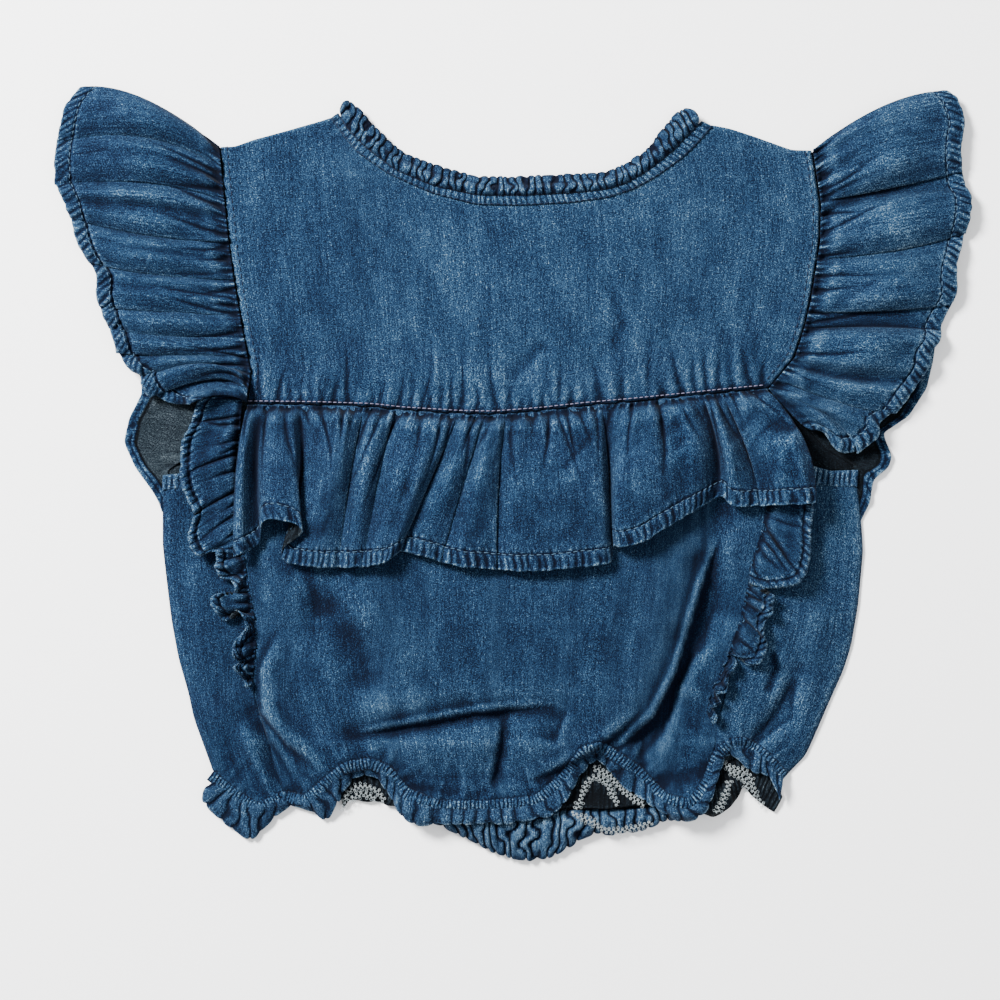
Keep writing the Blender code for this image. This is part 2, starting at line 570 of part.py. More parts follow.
def cloth_colour(name, colour):
    """One cloth colour, matt."""
    material = bpy.data.materials.new(name)
    material.use_nodes = True
    shader = material.node_tree.nodes["Principled BSDF"]
    shader.inputs["Base Color"].default_value = colour
    shader.inputs["Roughness"].default_value = CLOTH_ROUGHNESS
    shader.inputs["Metallic"].default_value = 0.0
    material.diffuse_color = colour
    return material


def grid_normals(points):
    """Unit normals of a grid of points, turned upwards on the whole."""
    along = np.gradient(points, axis=0)
    across = np.gradient(points, axis=1)
    normal = np.cross(along, across)
    normal = normal / np.linalg.norm(normal, axis=2, keepdims=True)
    if normal[..., 2].sum() < 0.0:
        normal = -normal
    return normal


def closed_wall(name, upper, lower, colour):
    """A closed solid between an upper and a lower grid of points."""
    n_u, n_v = upper.shape[:2]
    count = n_u * n_v
    verts = np.concatenate((upper.reshape(-1, 3), lower.reshape(-1, 3))) * 0.001
    e1 = upper[1, 0] - upper[0, 0]
    e2 = upper[0, 1] - upper[0, 0]
    turned = e1[0] * e2[1] - e1[1] * e2[0] < 0.0
    faces = []

    def tri(a, b, c):
        faces.append((a, c, b) if turned else (a, b, c))

    for i in range(n_u - 1):
        for j in range(n_v - 1):
            a = i * n_v + j
            b = a + n_v
            c = b + 1
            d = a + 1
            tri(a, b, c)
            tri(a, c, d)
            tri(count + a, count + c, count + b)
            tri(count + a, count + d, count + c)
    rim = [i * n_v for i in range(n_u)]
    rim += [(n_u - 1) * n_v + j for j in range(1, n_v)]
    rim += [i * n_v + n_v - 1 for i in range(n_u - 2, -1, -1)]
    rim += [j for j in range(n_v - 2, 0, -1)]
    for k, a in enumerate(rim):
        b = rim[(k + 1) % len(rim)]
        tri(a, count + b, b)
        tri(a, count + a, count + b)
    mesh = bpy.data.meshes.new(name)
    mesh.from_pydata([tuple(p) for p in verts], [], faces)
    mesh.materials.append(MATERIALS[colour])
    mesh.shade_smooth()
    piece = bpy.data.objects.new(name, mesh)
    bpy.context.scene.collection.objects.link(piece)
    return piece


def cloth(name, plan, height, colour):
    """A piece of cloth: its wall lies half above and half below the middle surface."""
    points = np.concatenate((plan, height[..., None]), axis=2)
    LAID[name] = points
    half = grid_normals(points) * WALL / 2.0
    return closed_wall(name, points + half, points - half, colour)


def flat_cloth(name, plan, colour):
    """A piece that lies on the surface: both faces flat."""
    height = np.full(plan.shape[:2], WALL / 2.0)
    points = np.concatenate((plan, height[..., None]), axis=2)
    LAID[name] = points
    half = np.array((0.0, 0.0, WALL / 2.0))
    return closed_wall(name, points + half, points - half, colour)


def panel(name, low, high, start, end, colour="denim"):
    """A front panel between four outlines, on the body's height."""
    plan = patch(low, high, start, end)
    slit = SEAM_SLIT / np.linalg.norm(plan[:, 1] - plan[:, 0], axis=1)[:, None]
    plan[:, 0] += (plan[:, 1] - plan[:, 0]) * slit
    slit = SEAM_SLIT / np.linalg.norm(plan[:, -2] - plan[:, -1], axis=1)[:, None]
    plan[:, -1] += (plan[:, -2] - plan[:, -1]) * slit
    slit = SEAM_SLIT / np.linalg.norm(plan[1] - plan[0], axis=1)[:, None]
    plan[0] += (plan[1] - plan[0]) * slit
    slit = SEAM_SLIT / np.linalg.norm(plan[-2] - plan[-1], axis=1)[:, None]
    plan[-1] += (plan[-2] - plan[-1]) * slit
    return cloth(name, plan, over_back(plan), colour)


def over_back(plan):
    """Front height, raised where the back's casing lies under it."""
    x = plan[..., 0]
    y = plan[..., 1]
    below = relief_of("hem_casing_back").settled(x, y) + GAP + WALL / 2.0
    return np.maximum(front_height(x, y), below)


def ruffle(name, rows, profile, steps, on, seam_z=None, billow=0.0, start=None,
           end=None, colour="denim", floor=0.0, waves=None, along=None):
    """A gathered strip from its seam to its free edge, one row of the table a crest.

    profile is the share of the crest height at each line from the seam to the edge."""
    table = eased(rows, steps)
    if waves is not None:
        table = resampled(rows, waves * steps + 1)
    n_u = len(table)
    n_v = len(profile)
    if along is not None:
        table[:, 0:2] = nearest_on(along, table[:, 0:2])
    low = table[:, 0:2]
    high = table[:, 2:4]
    v = np.linspace(0.0, 1.0, n_v)
    first = low[0] + (high[0] - low[0]) * v[:, None]
    final = low[-1] + (high[-1] - low[-1]) * v[:, None]
    if start is not None:
        first = resampled((tuple(low[0]),) + start[1:], n_v)
    if end is not None:
        final = resampled((tuple(low[-1]),) + end[1:], n_v)
    plan = patch(low, high, first, final)
    rests = np.full(plan.shape[:2], floor)
    if on:
        rests = np.maximum(rests, relief_of(*on).settled(plan[..., 0], plan[..., 1]))
    low_middle = rests + GAP + WALL / 2.0
    if not on:
        low_middle = rests + WALL / 2.0
    phase = np.arange(n_u) / steps
    crest = table[:, 4] * (0.5 + 0.5 * np.cos(2 * np.pi * phase))
    height = low_middle + crest[:, None] * np.array(profile)[None, :]
    height = height + billow * np.sin(np.pi * v)[None, :]
    if seam_z is not None:
        short = np.maximum(0.0, seam_z(low[:, 0], low[:, 1])[:, None] - height)
        height = height + short * (1 - v[None, :]) ** 2
    return cloth(name, plan, height, colour)


for thing in list(bpy.data.objects):
    bpy.data.objects.remove(thing, do_unlink=True)

MATERIALS = {
    "denim": cloth_colour("denim", DENIM),
    "denim_worn": cloth_colour("denim_worn", DENIM_WORN),
    "denim_inside": cloth_colour("denim_inside", DENIM_INSIDE),
}

# ---- lowest layer: the back and the back halves of the flounces
back_low = BACK_OUTLINE_LEFT[-1:] + BACK_HEM + BACK_OUTLINE_RIGHT[-1:]
back_low = resampled(back_low, BACK_ACROSS)
back_high = BACK_OUTLINE_LEFT[:1] + BACK_NECK + BACK_OUTLINE_RIGHT[:1]
back_high = resampled(back_high, BACK_ACROSS)
back_plan = patch(back_low, back_high, np.array(BACK_OUTLINE_LEFT[::-1]),
                  np.array(BACK_OUTLINE_RIGHT[::-1]))
flat_cloth("back_panel", back_plan, "denim_inside")
for side, outline, edge, out in (
        ("left", BACK_OUTLINE_LEFT, BACK_FLOUNCE_LEFT_EDGE, -ARMHOLE_SEAM),
        ("right", BACK_OUTLINE_RIGHT, BACK_FLOUNCE_RIGHT_EDGE, ARMHOLE_SEAM)):
    seam = set_off(outline, out)[:ARMHOLE_POINTS]
    inner = np.zeros((2 * ARMHOLE_POINTS - 1, 2))
    inner[::2] = seam
    inner[1::2] = (seam[1:] + seam[:-1]) / 2.0
    outer = np.array(edge)
    share = np.linspace(0.0, 1.0, BACK_FLOUNCE_ACROSS)[:, None]
    plan = patch(inner, outer, inner[0] + (outer[0] - inner[0]) * share,
                 inner[-1] + (outer[-1] - inner[-1]) * share)
    flat_cloth("back_flounce_" + side, plan, "denim_inside")
ruffle("hem_frill_back", HEM_FRILL_BACK, HEM_BACK_RISE, NARROW_STEPS, (), colour="denim_worn")
ruffle("hem_casing_back", HEM_CASING_BACK, CASING_RISE, CASING_STEPS,
       ("back_panel", "hem_frill_back"), floor=TOP_BACK, colour="denim_inside")

# ---- front panels; a side panel's seam runs along the princess line, then to the underarm
side_seam_left = PRINCESS_LEFT[:1:-1] + UNDERARM_LEFT[-1:]
side_seam_right = PRINCESS_RIGHT[:1:-1] + UNDERARM_RIGHT[:1]
panel("front_side_left",
      resampled(SIDE_LEFT_HEM, SIDE_ACROSS), resampled(UNDERARM_LEFT, SIDE_ACROSS),
      resampled(SIDE_LEFT[::-1], SIDE_ALONG), resampled(side_seam_left, SIDE_ALONG))
panel("front_side_right",
      resampled(SIDE_RIGHT_HEM, SIDE_ACROSS), resampled(UNDERARM_RIGHT, SIDE_ACROSS),
      resampled(side_seam_right, SIDE_ALONG), resampled(SIDE_RIGHT[::-1], SIDE_ALONG))
panel("front_center",
      resampled(BODY_HEM, CENTER_ACROSS), resampled(YOKE_SEAM, CENTER_ACROSS),
      resampled(PRINCESS_LEFT[::-1], CENTER_ALONG),
      resampled(PRINCESS_RIGHT[::-1], CENTER_ALONG))
shoulder_left = YOKE_TOP[:YOKE_NECK_FIRST + 1]
neck_edge = YOKE_TOP[YOKE_NECK_FIRST:YOKE_NECK_LAST + 1]
shoulder_right = YOKE_TOP[YOKE_NECK_LAST:]
yoke_top = np.concatenate((
    resampled(shoulder_left, SHOULDER_POINTS + 1)[:-1],
    resampled(neck_edge, NECK_POINTS),
    resampled(shoulder_right, SHOULDER_POINTS + 1)[1:],
))
panel("front_yoke", resampled(YOKE_SEAM, len(yoke_top)), yoke_top,
      resampled(ARM_LEFT[::-1], YOKE_ALONG), resampled(ARM_RIGHT[::-1], YOKE_ALONG))

# ---- bindings, casing and frills that carry on from the panels
for side, high in (("left", BINDING_LEFT_TOP), ("right", BINDING_RIGHT_TOP)):
    low = set_off(LAID["front_side_" + side][:, -1, :2], GAP)
    plan = np.stack((low, resampled(high, len(low))), axis=1)
    cloth("underarm_binding_" + side, plan, over_back(plan), "denim_worn")

neck_low = LAID["front_yoke"][SHOULDER_POINTS:SHOULDER_POINTS + NECK_POINTS, -1, :2]
neck_high = resampled(NECK_BINDING_HIGH, NECK_POINTS)
plan = np.stack((set_off(neck_low, GAP), neck_high), axis=1)
cloth("neck_binding", plan, over_back(plan), "denim")
frill_rows = np.concatenate((set_off(neck_high, GAP), resampled(NECK_FRILL_EDGE, NECK_POINTS),
                             np.full((NECK_POINTS, 1), NECK_WAVE)), axis=1)
ruffle("neck_frill", frill_rows, NECK_RISE, NARROW_STEPS, ("neck_binding",),
       waves=NECK_WAVES, floor=NECK_FRILL_REST)

body_edge = np.concatenate((
    LAID["front_side_left"][:, 0, :2], LAID["front_center"][:, 0, :2],
    LAID["front_side_right"][:, 0, :2],
))
casing_low = set_off(resampled(body_edge, CASING_POINTS), -CASING_DROP)
casing_high = set_off(casing_low, -CASING_WIDTH)
plan = np.stack((casing_low, casing_high), axis=1)
cloth("hem_casing_front", plan, over_back(plan), "denim")
ruffle("hem_frill_front", HEM_FRILL_FRONT, HEM_FRONT_RISE, NARROW_STEPS,
       ("hem_casing_front", "hem_casing_back", "hem_frill_back", "back_panel"),
       along=resampled(set_off(casing_high, FRILL_SEAM), SNAP_POINTS), colour="denim_worn")

# ---- ruffles and flounces laid over the panels
ruffle("seam_ruffle_left", SEAM_RUFFLE_LEFT, SEAM_RUFFLE_RISE, WIDE_STEPS,
       ("back_panel", "back_flounce_left", "front_side_left", "front_center",
        "underarm_binding_left"))
ruffle("seam_ruffle_right", SEAM_RUFFLE_RIGHT, SEAM_RUFFLE_RISE, WIDE_STEPS,
       ("back_panel", "front_side_right", "front_center", "underarm_binding_right"))
arm_left = set_off(LAID["front_yoke"][0, :, :2], GAP + SEAM_SLIT)
arm_right = set_off(LAID["front_yoke"][-1, :, :2], -GAP - SEAM_SLIT)
ruffle("flounce_left", FLOUNCE_LEFT, FLOUNCE_RISE, WIDE_STEPS,
       ("back_panel", "back_flounce_left", "seam_ruffle_left"),
       seam_z=front_height, billow=FLOUNCE_BILLOW, start=FLOUNCE_LEFT_FOLD, along=arm_left)
ruffle("flounce_right", FLOUNCE_RIGHT, FLOUNCE_RISE, WIDE_STEPS,
       ("back_panel", "back_flounce_right", "seam_ruffle_right", "underarm_binding_right"),
       seam_z=front_height, billow=FLOUNCE_BILLOW, start=FLOUNCE_RIGHT_FOLD, along=arm_right)
ruffle("yoke_ruffle", YOKE_RUFFLE, YOKE_RISE, WIDE_STEPS,
       ("front_center", "front_side_left", "front_side_right", "seam_ruffle_left",
        "seam_ruffle_right", "flounce_left", "flounce_right", "back_panel"),
       billow=YOKE_BILLOW, end=YOKE_RUFFLE_RIGHT_END)

# ---- the row's frame: middle of the plan at x = y = 0, underside at z = 0
pieces = [piece for piece in bpy.data.objects if piece.type == "MESH"]
corners = [np.array([v.co[:] for v in piece.data.vertices]) for piece in pieces]
least = np.min([c.min(axis=0) for c in corners], axis=0)
most = np.max([c.max(axis=0) for c in corners], axis=0)
middle = (least + most) / 2.0
for piece in pieces:
    for vertex in piece.data.vertices:
        vertex.co.x -= middle[0]
        vertex.co.y -= middle[1]
        vertex.co.z -= least[2]
for piece in pieces:
    print(piece.name, len(piece.data.polygons))
print("pieces", len(pieces), "triangles", sum(len(p.data.polygons) for p in pieces))
print("size mm", np.round((most - least) * 1000, 1), "middle", np.round(middle * 1000, 2))
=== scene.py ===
# %% [markdown]
# # A baby blouse, laid flat
# A sleeveless chambray blouse lies on a pale table and is seen from straight above. It has
# a gathered neck frill, a yoke with a ruffle sewn into its seam, wide flounces over the
# shoulders that run on as narrow ruffles down the body, and a puffed body on an elastic
# hem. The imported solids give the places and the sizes, and this script gives the cloth.

# %% Frame
import bpy
import numpy as np
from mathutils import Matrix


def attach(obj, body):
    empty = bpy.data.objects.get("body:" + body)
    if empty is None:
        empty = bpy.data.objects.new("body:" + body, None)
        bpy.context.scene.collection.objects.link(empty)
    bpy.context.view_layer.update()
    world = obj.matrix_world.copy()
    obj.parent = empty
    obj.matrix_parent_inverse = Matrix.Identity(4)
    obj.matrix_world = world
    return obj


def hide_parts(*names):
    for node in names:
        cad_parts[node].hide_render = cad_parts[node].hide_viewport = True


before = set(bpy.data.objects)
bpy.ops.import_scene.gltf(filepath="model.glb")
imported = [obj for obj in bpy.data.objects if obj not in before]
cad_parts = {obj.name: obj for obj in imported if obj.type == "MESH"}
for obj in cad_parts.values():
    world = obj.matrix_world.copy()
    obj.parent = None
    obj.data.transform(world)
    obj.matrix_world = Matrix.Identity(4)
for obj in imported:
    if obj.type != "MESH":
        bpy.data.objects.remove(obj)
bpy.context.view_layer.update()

# %% [markdown]
# ## Sizes
# The tables below are in millimetres: x to the right, y towards the neck, z up. They were
# drawn before the plan was centred, so `CENTRE` is taken off when a mesh is made.

# %% Sizes
MM = 0.001
CENTRE = np.array((0.02, 0.10, 0.0))    # middle of the drawn plan
THICK = 0.5         # cloth, as shown
PILE = 1.5          # height that each layer of soft cloth takes up
BACK_MIDDLE = 0.6   # middle height of the back, which lies on the table
FRONT_LOW = 2.1     # lowest middle height of the front
HEM = 6.6           # turned hem of the ruffles

# %% [markdown]
# ## Stage
# The photograph is taken from straight above in soft light that comes a little from the
# upper left. A wide lamp there gives the folds their light and dark sides. A weak lamp on
# the right and a pale sky fill the shadows. The camera stands so that its picture is 410 mm
# wide on the cloth.

# %% Camera, floor and light
VIEW_WIDTH = 0.410
LENS = 85.0
SENSOR = 36.0
VIEW_MIDDLE = (-0.0051, -0.0110)
CLOTH_LEVEL = 0.004


def lamp(name, place, size, power):
    """A square soft light that looks at the middle of the table."""
    data = bpy.data.lights.new(name, "AREA")
    data.size = size
    data.energy = power
    thing = bpy.data.objects.new(name, data)
    thing.location = place
    way = -np.array(place)
    flat = np.hypot(way[0], way[1])
    thing.rotation_euler = (np.arctan2(flat, -way[2]), 0.0, np.arctan2(-way[0], way[1]))
    bpy.context.scene.collection.objects.link(thing)
    return thing


def plain_material(name, colour, roughness):
    """One colour, for the table and the threads."""
    material = bpy.data.materials.new(name)
    material.use_nodes = True
    shader = material.node_tree.nodes["Principled BSDF"]
    shader.inputs["Base Color"].default_value = colour
    shader.inputs["Roughness"].default_value = roughness
    return material


camera_data = bpy.data.cameras.new("camera")
camera_data.lens = LENS
camera_data.sensor_width = SENSOR
camera = bpy.data.objects.new("camera", camera_data)
camera.location = (VIEW_MIDDLE[0], VIEW_MIDDLE[1], CLOTH_LEVEL + VIEW_WIDTH * LENS / SENSOR)
bpy.context.scene.collection.objects.link(camera)
bpy.context.scene.camera = camera

floor_mesh = bpy.data.meshes.new("floor")
FLOOR_HALF = 3.0
corners = [(-1, -1), (1, -1), (1, 1), (-1, 1)]
floor_mesh.from_pydata([(x * FLOOR_HALF, y * FLOOR_HALF, 0.0) for x, y in corners], [],
                       [(0, 1, 2, 3)])
floor = bpy.data.objects.new("floor", floor_mesh)
bpy.context.scene.collection.objects.link(floor)
floor_mesh.materials.append(plain_material("table", (0.93, 0.93, 0.93, 1.0), 0.9))

lamp("key", place=(-1.05, 0.90, 1.15), size=0.5, power=175.0)
lamp("fill", place=(0.9, -0.3, 1.2), size=1.2, power=12.0)
world = bpy.data.worlds.new("sky")
world.use_nodes = True
world.node_tree.nodes["Background"].inputs["Color"].default_value = (0.95, 0.97, 1.0, 1.0)
world.node_tree.nodes["Background"].inputs["Strength"].default_value = 0.9
bpy.context.scene.world = world

# %% [markdown]
# ## Lines and sheets
# Cloth is drawn as a grid of points: one way runs along a seam, the other way crosses the
# piece from the seam to its free edge. A few listed rows are joined by a smooth curve, and
# a sheet is stretched between four outlines.

# %% Lines
def run_of(line):
    """Length run at each point of a polyline."""
    step = np.linalg.norm(np.diff(line, axis=0), axis=1)
    return np.concatenate(([0.0], np.cumsum(step)))


def read_along(line, run, want):
    """Points of a polyline where its `run` is `want`."""
    return np.stack([np.interp(want, run, line[:, k]) for k in range(line.shape[1])], axis=1)


def resampled(points, count):
    """The polyline with `count` points evenly spread along its length."""
    line = np.array(points, dtype=float)
    run = run_of(line)
    return read_along(line, run, np.linspace(0.0, run[-1], count))


def line_length(line):
    """Length of a polyline."""
    return float(np.sqrt((np.diff(np.array(line), axis=0) ** 2).sum(axis=1)).sum())


def unit(way):
    """Plan directions of length 1."""
    return way / np.maximum(np.linalg.norm(way, axis=1, keepdims=True), 1e-6)


def eased(share):
    """A share from 0 to 1 that leaves 0 and reaches 1 softly."""
    return share * share * (3 - 2 * share)


FINE_POINTS = 800
MOST_PASSES = 400


def soft_line(points, count, ease=2.5):
    """An outline whose corners are eased over about `ease` mm, its ends kept."""
    fine = resampled(points, FINE_POINTS)
    passes = max(1, int(2 * (ease * (FINE_POINTS - 1) / line_length(fine)) ** 2))
    for _ in range(min(passes, MOST_PASSES)):
        fine[1:-1] = 0.25 * fine[:-2] + 0.5 * fine[1:-1] + 0.25 * fine[2:]
    return resampled(fine, count)


def spline(rows, place):
    """Smooth curve through the rows of a table, read at row numbers `place`."""
    table = np.array(rows, dtype=float)
    last = len(table) - 1
    i = np.clip(np.floor(place).astype(int), 0, last - 1)
    t = (place - i)[..., None]
    p0 = table[np.maximum(i - 1, 0)]
    p1 = table[i]
    p2 = table[i + 1]
    p3 = table[np.minimum(i + 2, last)]
    bend = (2 * p0 - 5 * p1 + 4 * p2 - p3) * t ** 2
    twist = (3 * p1 - p0 - 3 * p2 + p3) * t ** 3
    return 0.5 * (2 * p1 + (p2 - p0) * t + bend + twist)


def patch(low, high, start, end):
    """Plan of a sheet stretched between four outlines that meet at their ends."""
    u = np.linspace(0.0, 1.0, len(low))[:, None, None]
    v = np.linspace(0.0, 1.0, len(start))[None, :, None]
    across = (1 - v) * low[:, None, :] + v * high[:, None, :]
    along = (1 - u) * start[None, :, :] + u * end[None, :, :]
    ends = (1 - v) * ((1 - u) * low[0] + u * low[-1])
    ends = ends + v * ((1 - u) * high[0] + u * high[-1])
    return across + along - ends


def distance_to(line, x, y):
    """Distance in plan to a polyline, signed (left of its run is +), and length run."""
    line = np.array(line, dtype=float)
    best = np.full(x.shape, 1e9)
    side = np.zeros(x.shape)
    place = np.zeros(x.shape)
    run = 0.0
    for (x0, y0), (x1, y1) in zip(line[:-1], line[1:]):
        dx = x1 - x0
        dy = y1 - y0
        size = np.hypot(dx, dy)
        t = np.clip(((x - x0) * dx + (y - y0) * dy) / size ** 2, 0.0, 1.0)
        away = np.hypot(x - x0 - t * dx, y - y0 - t * dy)
        nearer = away < best
        turn = np.sign(dx * (y - y0) - dy * (x - x0))
        best = np.where(nearer, away, best)
        side = np.where(nearer, turn, side)
        place = np.where(nearer, run + t * size, place)
        run += size
    return best, side, place, run


# %% [markdown]
# ## Crumple, gathers and creases
# Real cloth is never smooth. The grids get a soft random crumple, gathers (short ridges
# that start at a seam and die out) with dark furrows between them, creases along listed
# lines, and steps where a fold hangs over. All random numbers come from a fixed seed.

# %% Unevenness
LATTICE = 97            # random heights each way, before they repeat
LATTICE_MIDDLE = 300.0  # keeps the lattice numbers above zero
GATHER_SHARPNESS = 1.5
CREASE_FADE = 0.25      # share of a crease over which its ends die out
STEP_FADE = 0.3         # the same for a fold that hangs over


def crumple(x, y, size, seed):
    """Smooth random heights, about -1 to 1, with bumps about `size` mm wide."""
    count = LATTICE
    lattice = np.random.default_rng(seed).uniform(-1.0, 1.0, (count, count))
    fx = x / size + LATTICE_MIDDLE
    fy = y / size + LATTICE_MIDDLE
    i = np.floor(fx).astype(int)
    j = np.floor(fy).astype(int)
    a = fx - i
    b = fy - j
    a = a * a * a * (a * (a * 6 - 15) + 10)
    b = b * b * b * (b * (b * 6 - 15) + 10)
    low = (1 - a) * lattice[i % count, j % count] + a * lattice[(i + 1) % count, j % count]
    top = (1 - a) * lattice[i % count, (j + 1) % count]
    top = top + a * lattice[(i + 1) % count, (j + 1) % count]
    return (1 - b) * low + b * top


def gathers(run, away, length, pitch, reach, seed):
    """Ridges that start at a seam: `run` is the way along it, `away` the way from it."""
    rng = np.random.default_rng(seed)
    height = np.zeros(run.shape)
    place = 0.0
    while place < length:
        step = pitch * rng.uniform(0.6, 1.45)
        strength = rng.uniform(0.35, 1.0)
        far = reach * rng.uniform(0.35, 1.5)
        lean = rng.uniform(-0.12, 0.12)
        off = np.abs(run - place - lean * away) / (0.27 * step + 0.05 * away)
        height += strength * np.exp(-off ** GATHER_SHARPNESS) * np.exp(-(away / far) ** 1.4)
        place += step
    return height


def furrows(run, away, length, pitch, reach, seed):
    """Folds that run from a seam and taper off: 0 on the cloth, 1 at their bottoms; callers deepen
    them and paint shade in them.
    """
    rng = np.random.default_rng(seed)
    depth = np.zeros(run.shape)
    place = 0.3 * pitch
    while place < length:
        step = pitch * rng.uniform(0.45, 1.6)
        strength = rng.uniform(0.4, 1.0)
        far = reach * rng.uniform(0.3, 1.4)
        lean = rng.uniform(-0.22, 0.22)
        bow = rng.uniform(-0.8, 0.8)
        middle = place + lean * away + bow * np.sin(away / far * 3.0)
        wide = 0.30 * min(step, pitch) * np.exp(-away / 3.0) + 0.13 * pitch
        off = np.abs(run - middle) / wide
        part = strength * np.exp(-off ** 1.4) * np.exp(-(away / far) ** 2.2)
        depth = np.maximum(depth, part)
        place += step
    return depth


def faded_ends(place, whole, fade):
    """1 along the middle of a line, easing to 0 over the share `fade` at either end."""
    share = place / whole
    return eased(np.clip(np.minimum(share, 1.0 - share) / fade, 0.0, 1.0))


def crease(x, y, line, width, rise, tilt):
    """A ridge (rise > 0) or trough (rise < 0) along a listed line.

    `tilt` makes it steeper on the left (+) or on the right (-) of the line's run."""
    away, side, place, whole = distance_to(line, x, y)
    reach = width * (1.0 - tilt * side)
    return rise * faded_ends(place, whole, CREASE_FADE) * np.exp(-(away / reach) ** 2)


def step_down(x, y, line, drop, sharp, soft):
    """A fold's edge: cloth drops by `drop` just left of the line's run, then rises slowly."""
    away, side, place, whole = distance_to(line, x, y)
    ends = faded_ends(place, whole, STEP_FADE)
    signed = away * side
    fall = eased(np.clip((signed + 0.6 * sharp) / sharp, 0.0, 1.0))
    lip = 0.18 * np.exp(-((signed + 1.2 * sharp) / (1.2 * sharp)) ** 2)
    return drop * ends * (lip - fall * np.exp(-(np.maximum(signed, 0.0) / soft) ** 1.5))


# %% [markdown]
# ## Laying one piece on another
# The pieces are laid in the order in which they lie on the table, lowest first. `Relief`
# keeps the height of all that is laid on a raster of 1 mm cells, and the next piece rests
# on that height, eased so that it bridges the steps below it as cloth does.

# %% Relief
class Relief:
    """Heights of laid pieces on a raster."""

    CELL = 1.0
    HALF_X = 205
    HALF_Y = 180
    REACH = 2       # cells by which a laid piece is widened
    EASE = 10       # passes that ease its steps

    def __init__(self):
        self.top = np.zeros((2 * self.HALF_X + 1, 2 * self.HALF_Y + 1))

    def add(self, points):
        """Marks a fine grid of points."""
        i = np.rint(points[..., 0] / self.CELL).astype(int).ravel() + self.HALF_X
        j = np.rint(points[..., 1] / self.CELL).astype(int).ravel() + self.HALF_Y
        np.maximum.at(self.top, (i, j), points[..., 2].ravel())

    def soft(self):
        """The raster, a little widened and with its steps eased."""
        high = self.top.copy()
        for _ in range(self.REACH):
            high = neighbours(high, np.maximum.reduce)
        soft = high.copy()
        for _ in range(self.EASE):
            soft = np.maximum(high, neighbours(soft, mean_of))
        return soft

    def read(self, raster, x, y):
        """Raster height at places (x, y)."""
        fx = x / self.CELL + self.HALF_X
        fy = y / self.CELL + self.HALF_Y
        i = np.clip(fx.astype(int), 0, raster.shape[0] - 2)
        j = np.clip(fy.astype(int), 0, raster.shape[1] - 2)
        a = fx - i
        b = fy - j
        low = (1 - a) * raster[i, j] + a * raster[i + 1, j]
        top = (1 - a) * raster[i, j + 1] + a * raster[i + 1, j + 1]
        return (1 - b) * low + b * top


def mean_of(layers):
    """Mean of several rasters."""
    return sum(layers) / len(layers)


def neighbours(raster, join):
    """Joins each cell of a raster with its eight neighbours."""
    wide = np.pad(raster, 1, mode="edge")
    rows, columns = raster.shape
    return join([wide[i:i + rows, j:j + columns] for i in range(3) for j in range(3)])


LAID = {}


def rest_height(x, y, on):
    """Height of the pieces named in `on` under the places (x, y)."""
    relief = Relief()
    for name in on:
        relief.add(LAID[name])
    return relief.read(relief.soft(), x, y)


def sewn_to(names, x, y):
    """Middle height of the nearest points of laid pieces, where another is sewn on."""
    grid = np.concatenate([LAID[name].reshape(-1, 3) for name in names])
    height = np.zeros(len(x))
    for number, (px, py) in enumerate(zip(x, y)):
        far = (grid[:, 0] - px) ** 2 + (grid[:, 1] - py) ** 2
        near = np.argpartition(far, 4)[:4]
        share = 1.0 / (far[near] + 0.01)
        height[number] = (grid[near, 2] * share).sum() / share.sum()
    return height


# %% [markdown]
# ## From a grid to a thin shell
# A grid becomes a closed shell: an upper and a lower sheet half a thickness either side,
# joined round the rim. The upper sheet and the rim take the outer finish, the lower one the
# wrong side's. Two marks go with each point. One is pale wear on turned edges, together with a
# painted highlight on ridges and crests. The other is painted shade in creases, hollows and
# shadowed places, together with the indigo that washing leaves in creases.

# %% Shells
def normals_of(points):
    """Unit normals of a grid, turned so that the sheet faces up on the whole."""
    along = np.gradient(points, axis=0)
    across = np.gradient(points, axis=1)
    normal = np.cross(along, across)
    normal = normal / np.maximum(np.linalg.norm(normal, axis=2, keepdims=True), 1e-9)
    if normal[..., 2].sum() < 0.0:
        normal = -normal
    return normal


def blurred(grid, passes):
    """A grid eased along both its ways, `passes` times."""
    soft = grid.copy()
    for _ in range(passes):
        soft[1:-1] = 0.25 * soft[:-2] + 0.5 * soft[1:-1] + 0.25 * soft[2:]
        soft[:, 1:-1] = 0.25 * soft[:, :-2] + 0.5 * soft[:, 1:-1] + 0.25 * soft[:, 2:]
    return soft


def relief_marks(points):
    """Painted highlight, with wear, on a sheet's own ridges and painted shade in its hollows, fine
    and broad.
    """
    normal = normals_of(points)
    fine = ((points - blurred(points, 4)) * normal).sum(axis=2)
    broad = ((points - blurred(points, 40)) * normal).sum(axis=2)
    ridge_highlight_and_wear = np.clip(fine / 0.16, 0, 1) * 0.5 + np.clip(broad / 1.2, 0, 1) * 0.25
    hollow_shade = np.clip(-fine / 0.16, 0, 1) * 0.45 + np.clip(-broad / 1.4, 0, 1) * 0.3
    return ridge_highlight_and_wear, hollow_shade


def cloth_lengths(points):
    """The cloth map: how much cloth runs to each point, along and across."""
    n_u, n_v = points.shape[:2]
    step_u = np.linalg.norm(np.diff(points, axis=0), axis=2)
    step_v = np.linalg.norm(np.diff(points, axis=1), axis=2)
    run_u = np.concatenate((np.zeros(1), np.cumsum(step_u.max(axis=1))))
    run_v = np.concatenate((np.zeros((n_u, 1)), np.cumsum(step_v, axis=1)), axis=1)
    return np.stack((np.repeat(run_u[:, None], n_v, axis=1), run_v), axis=2)


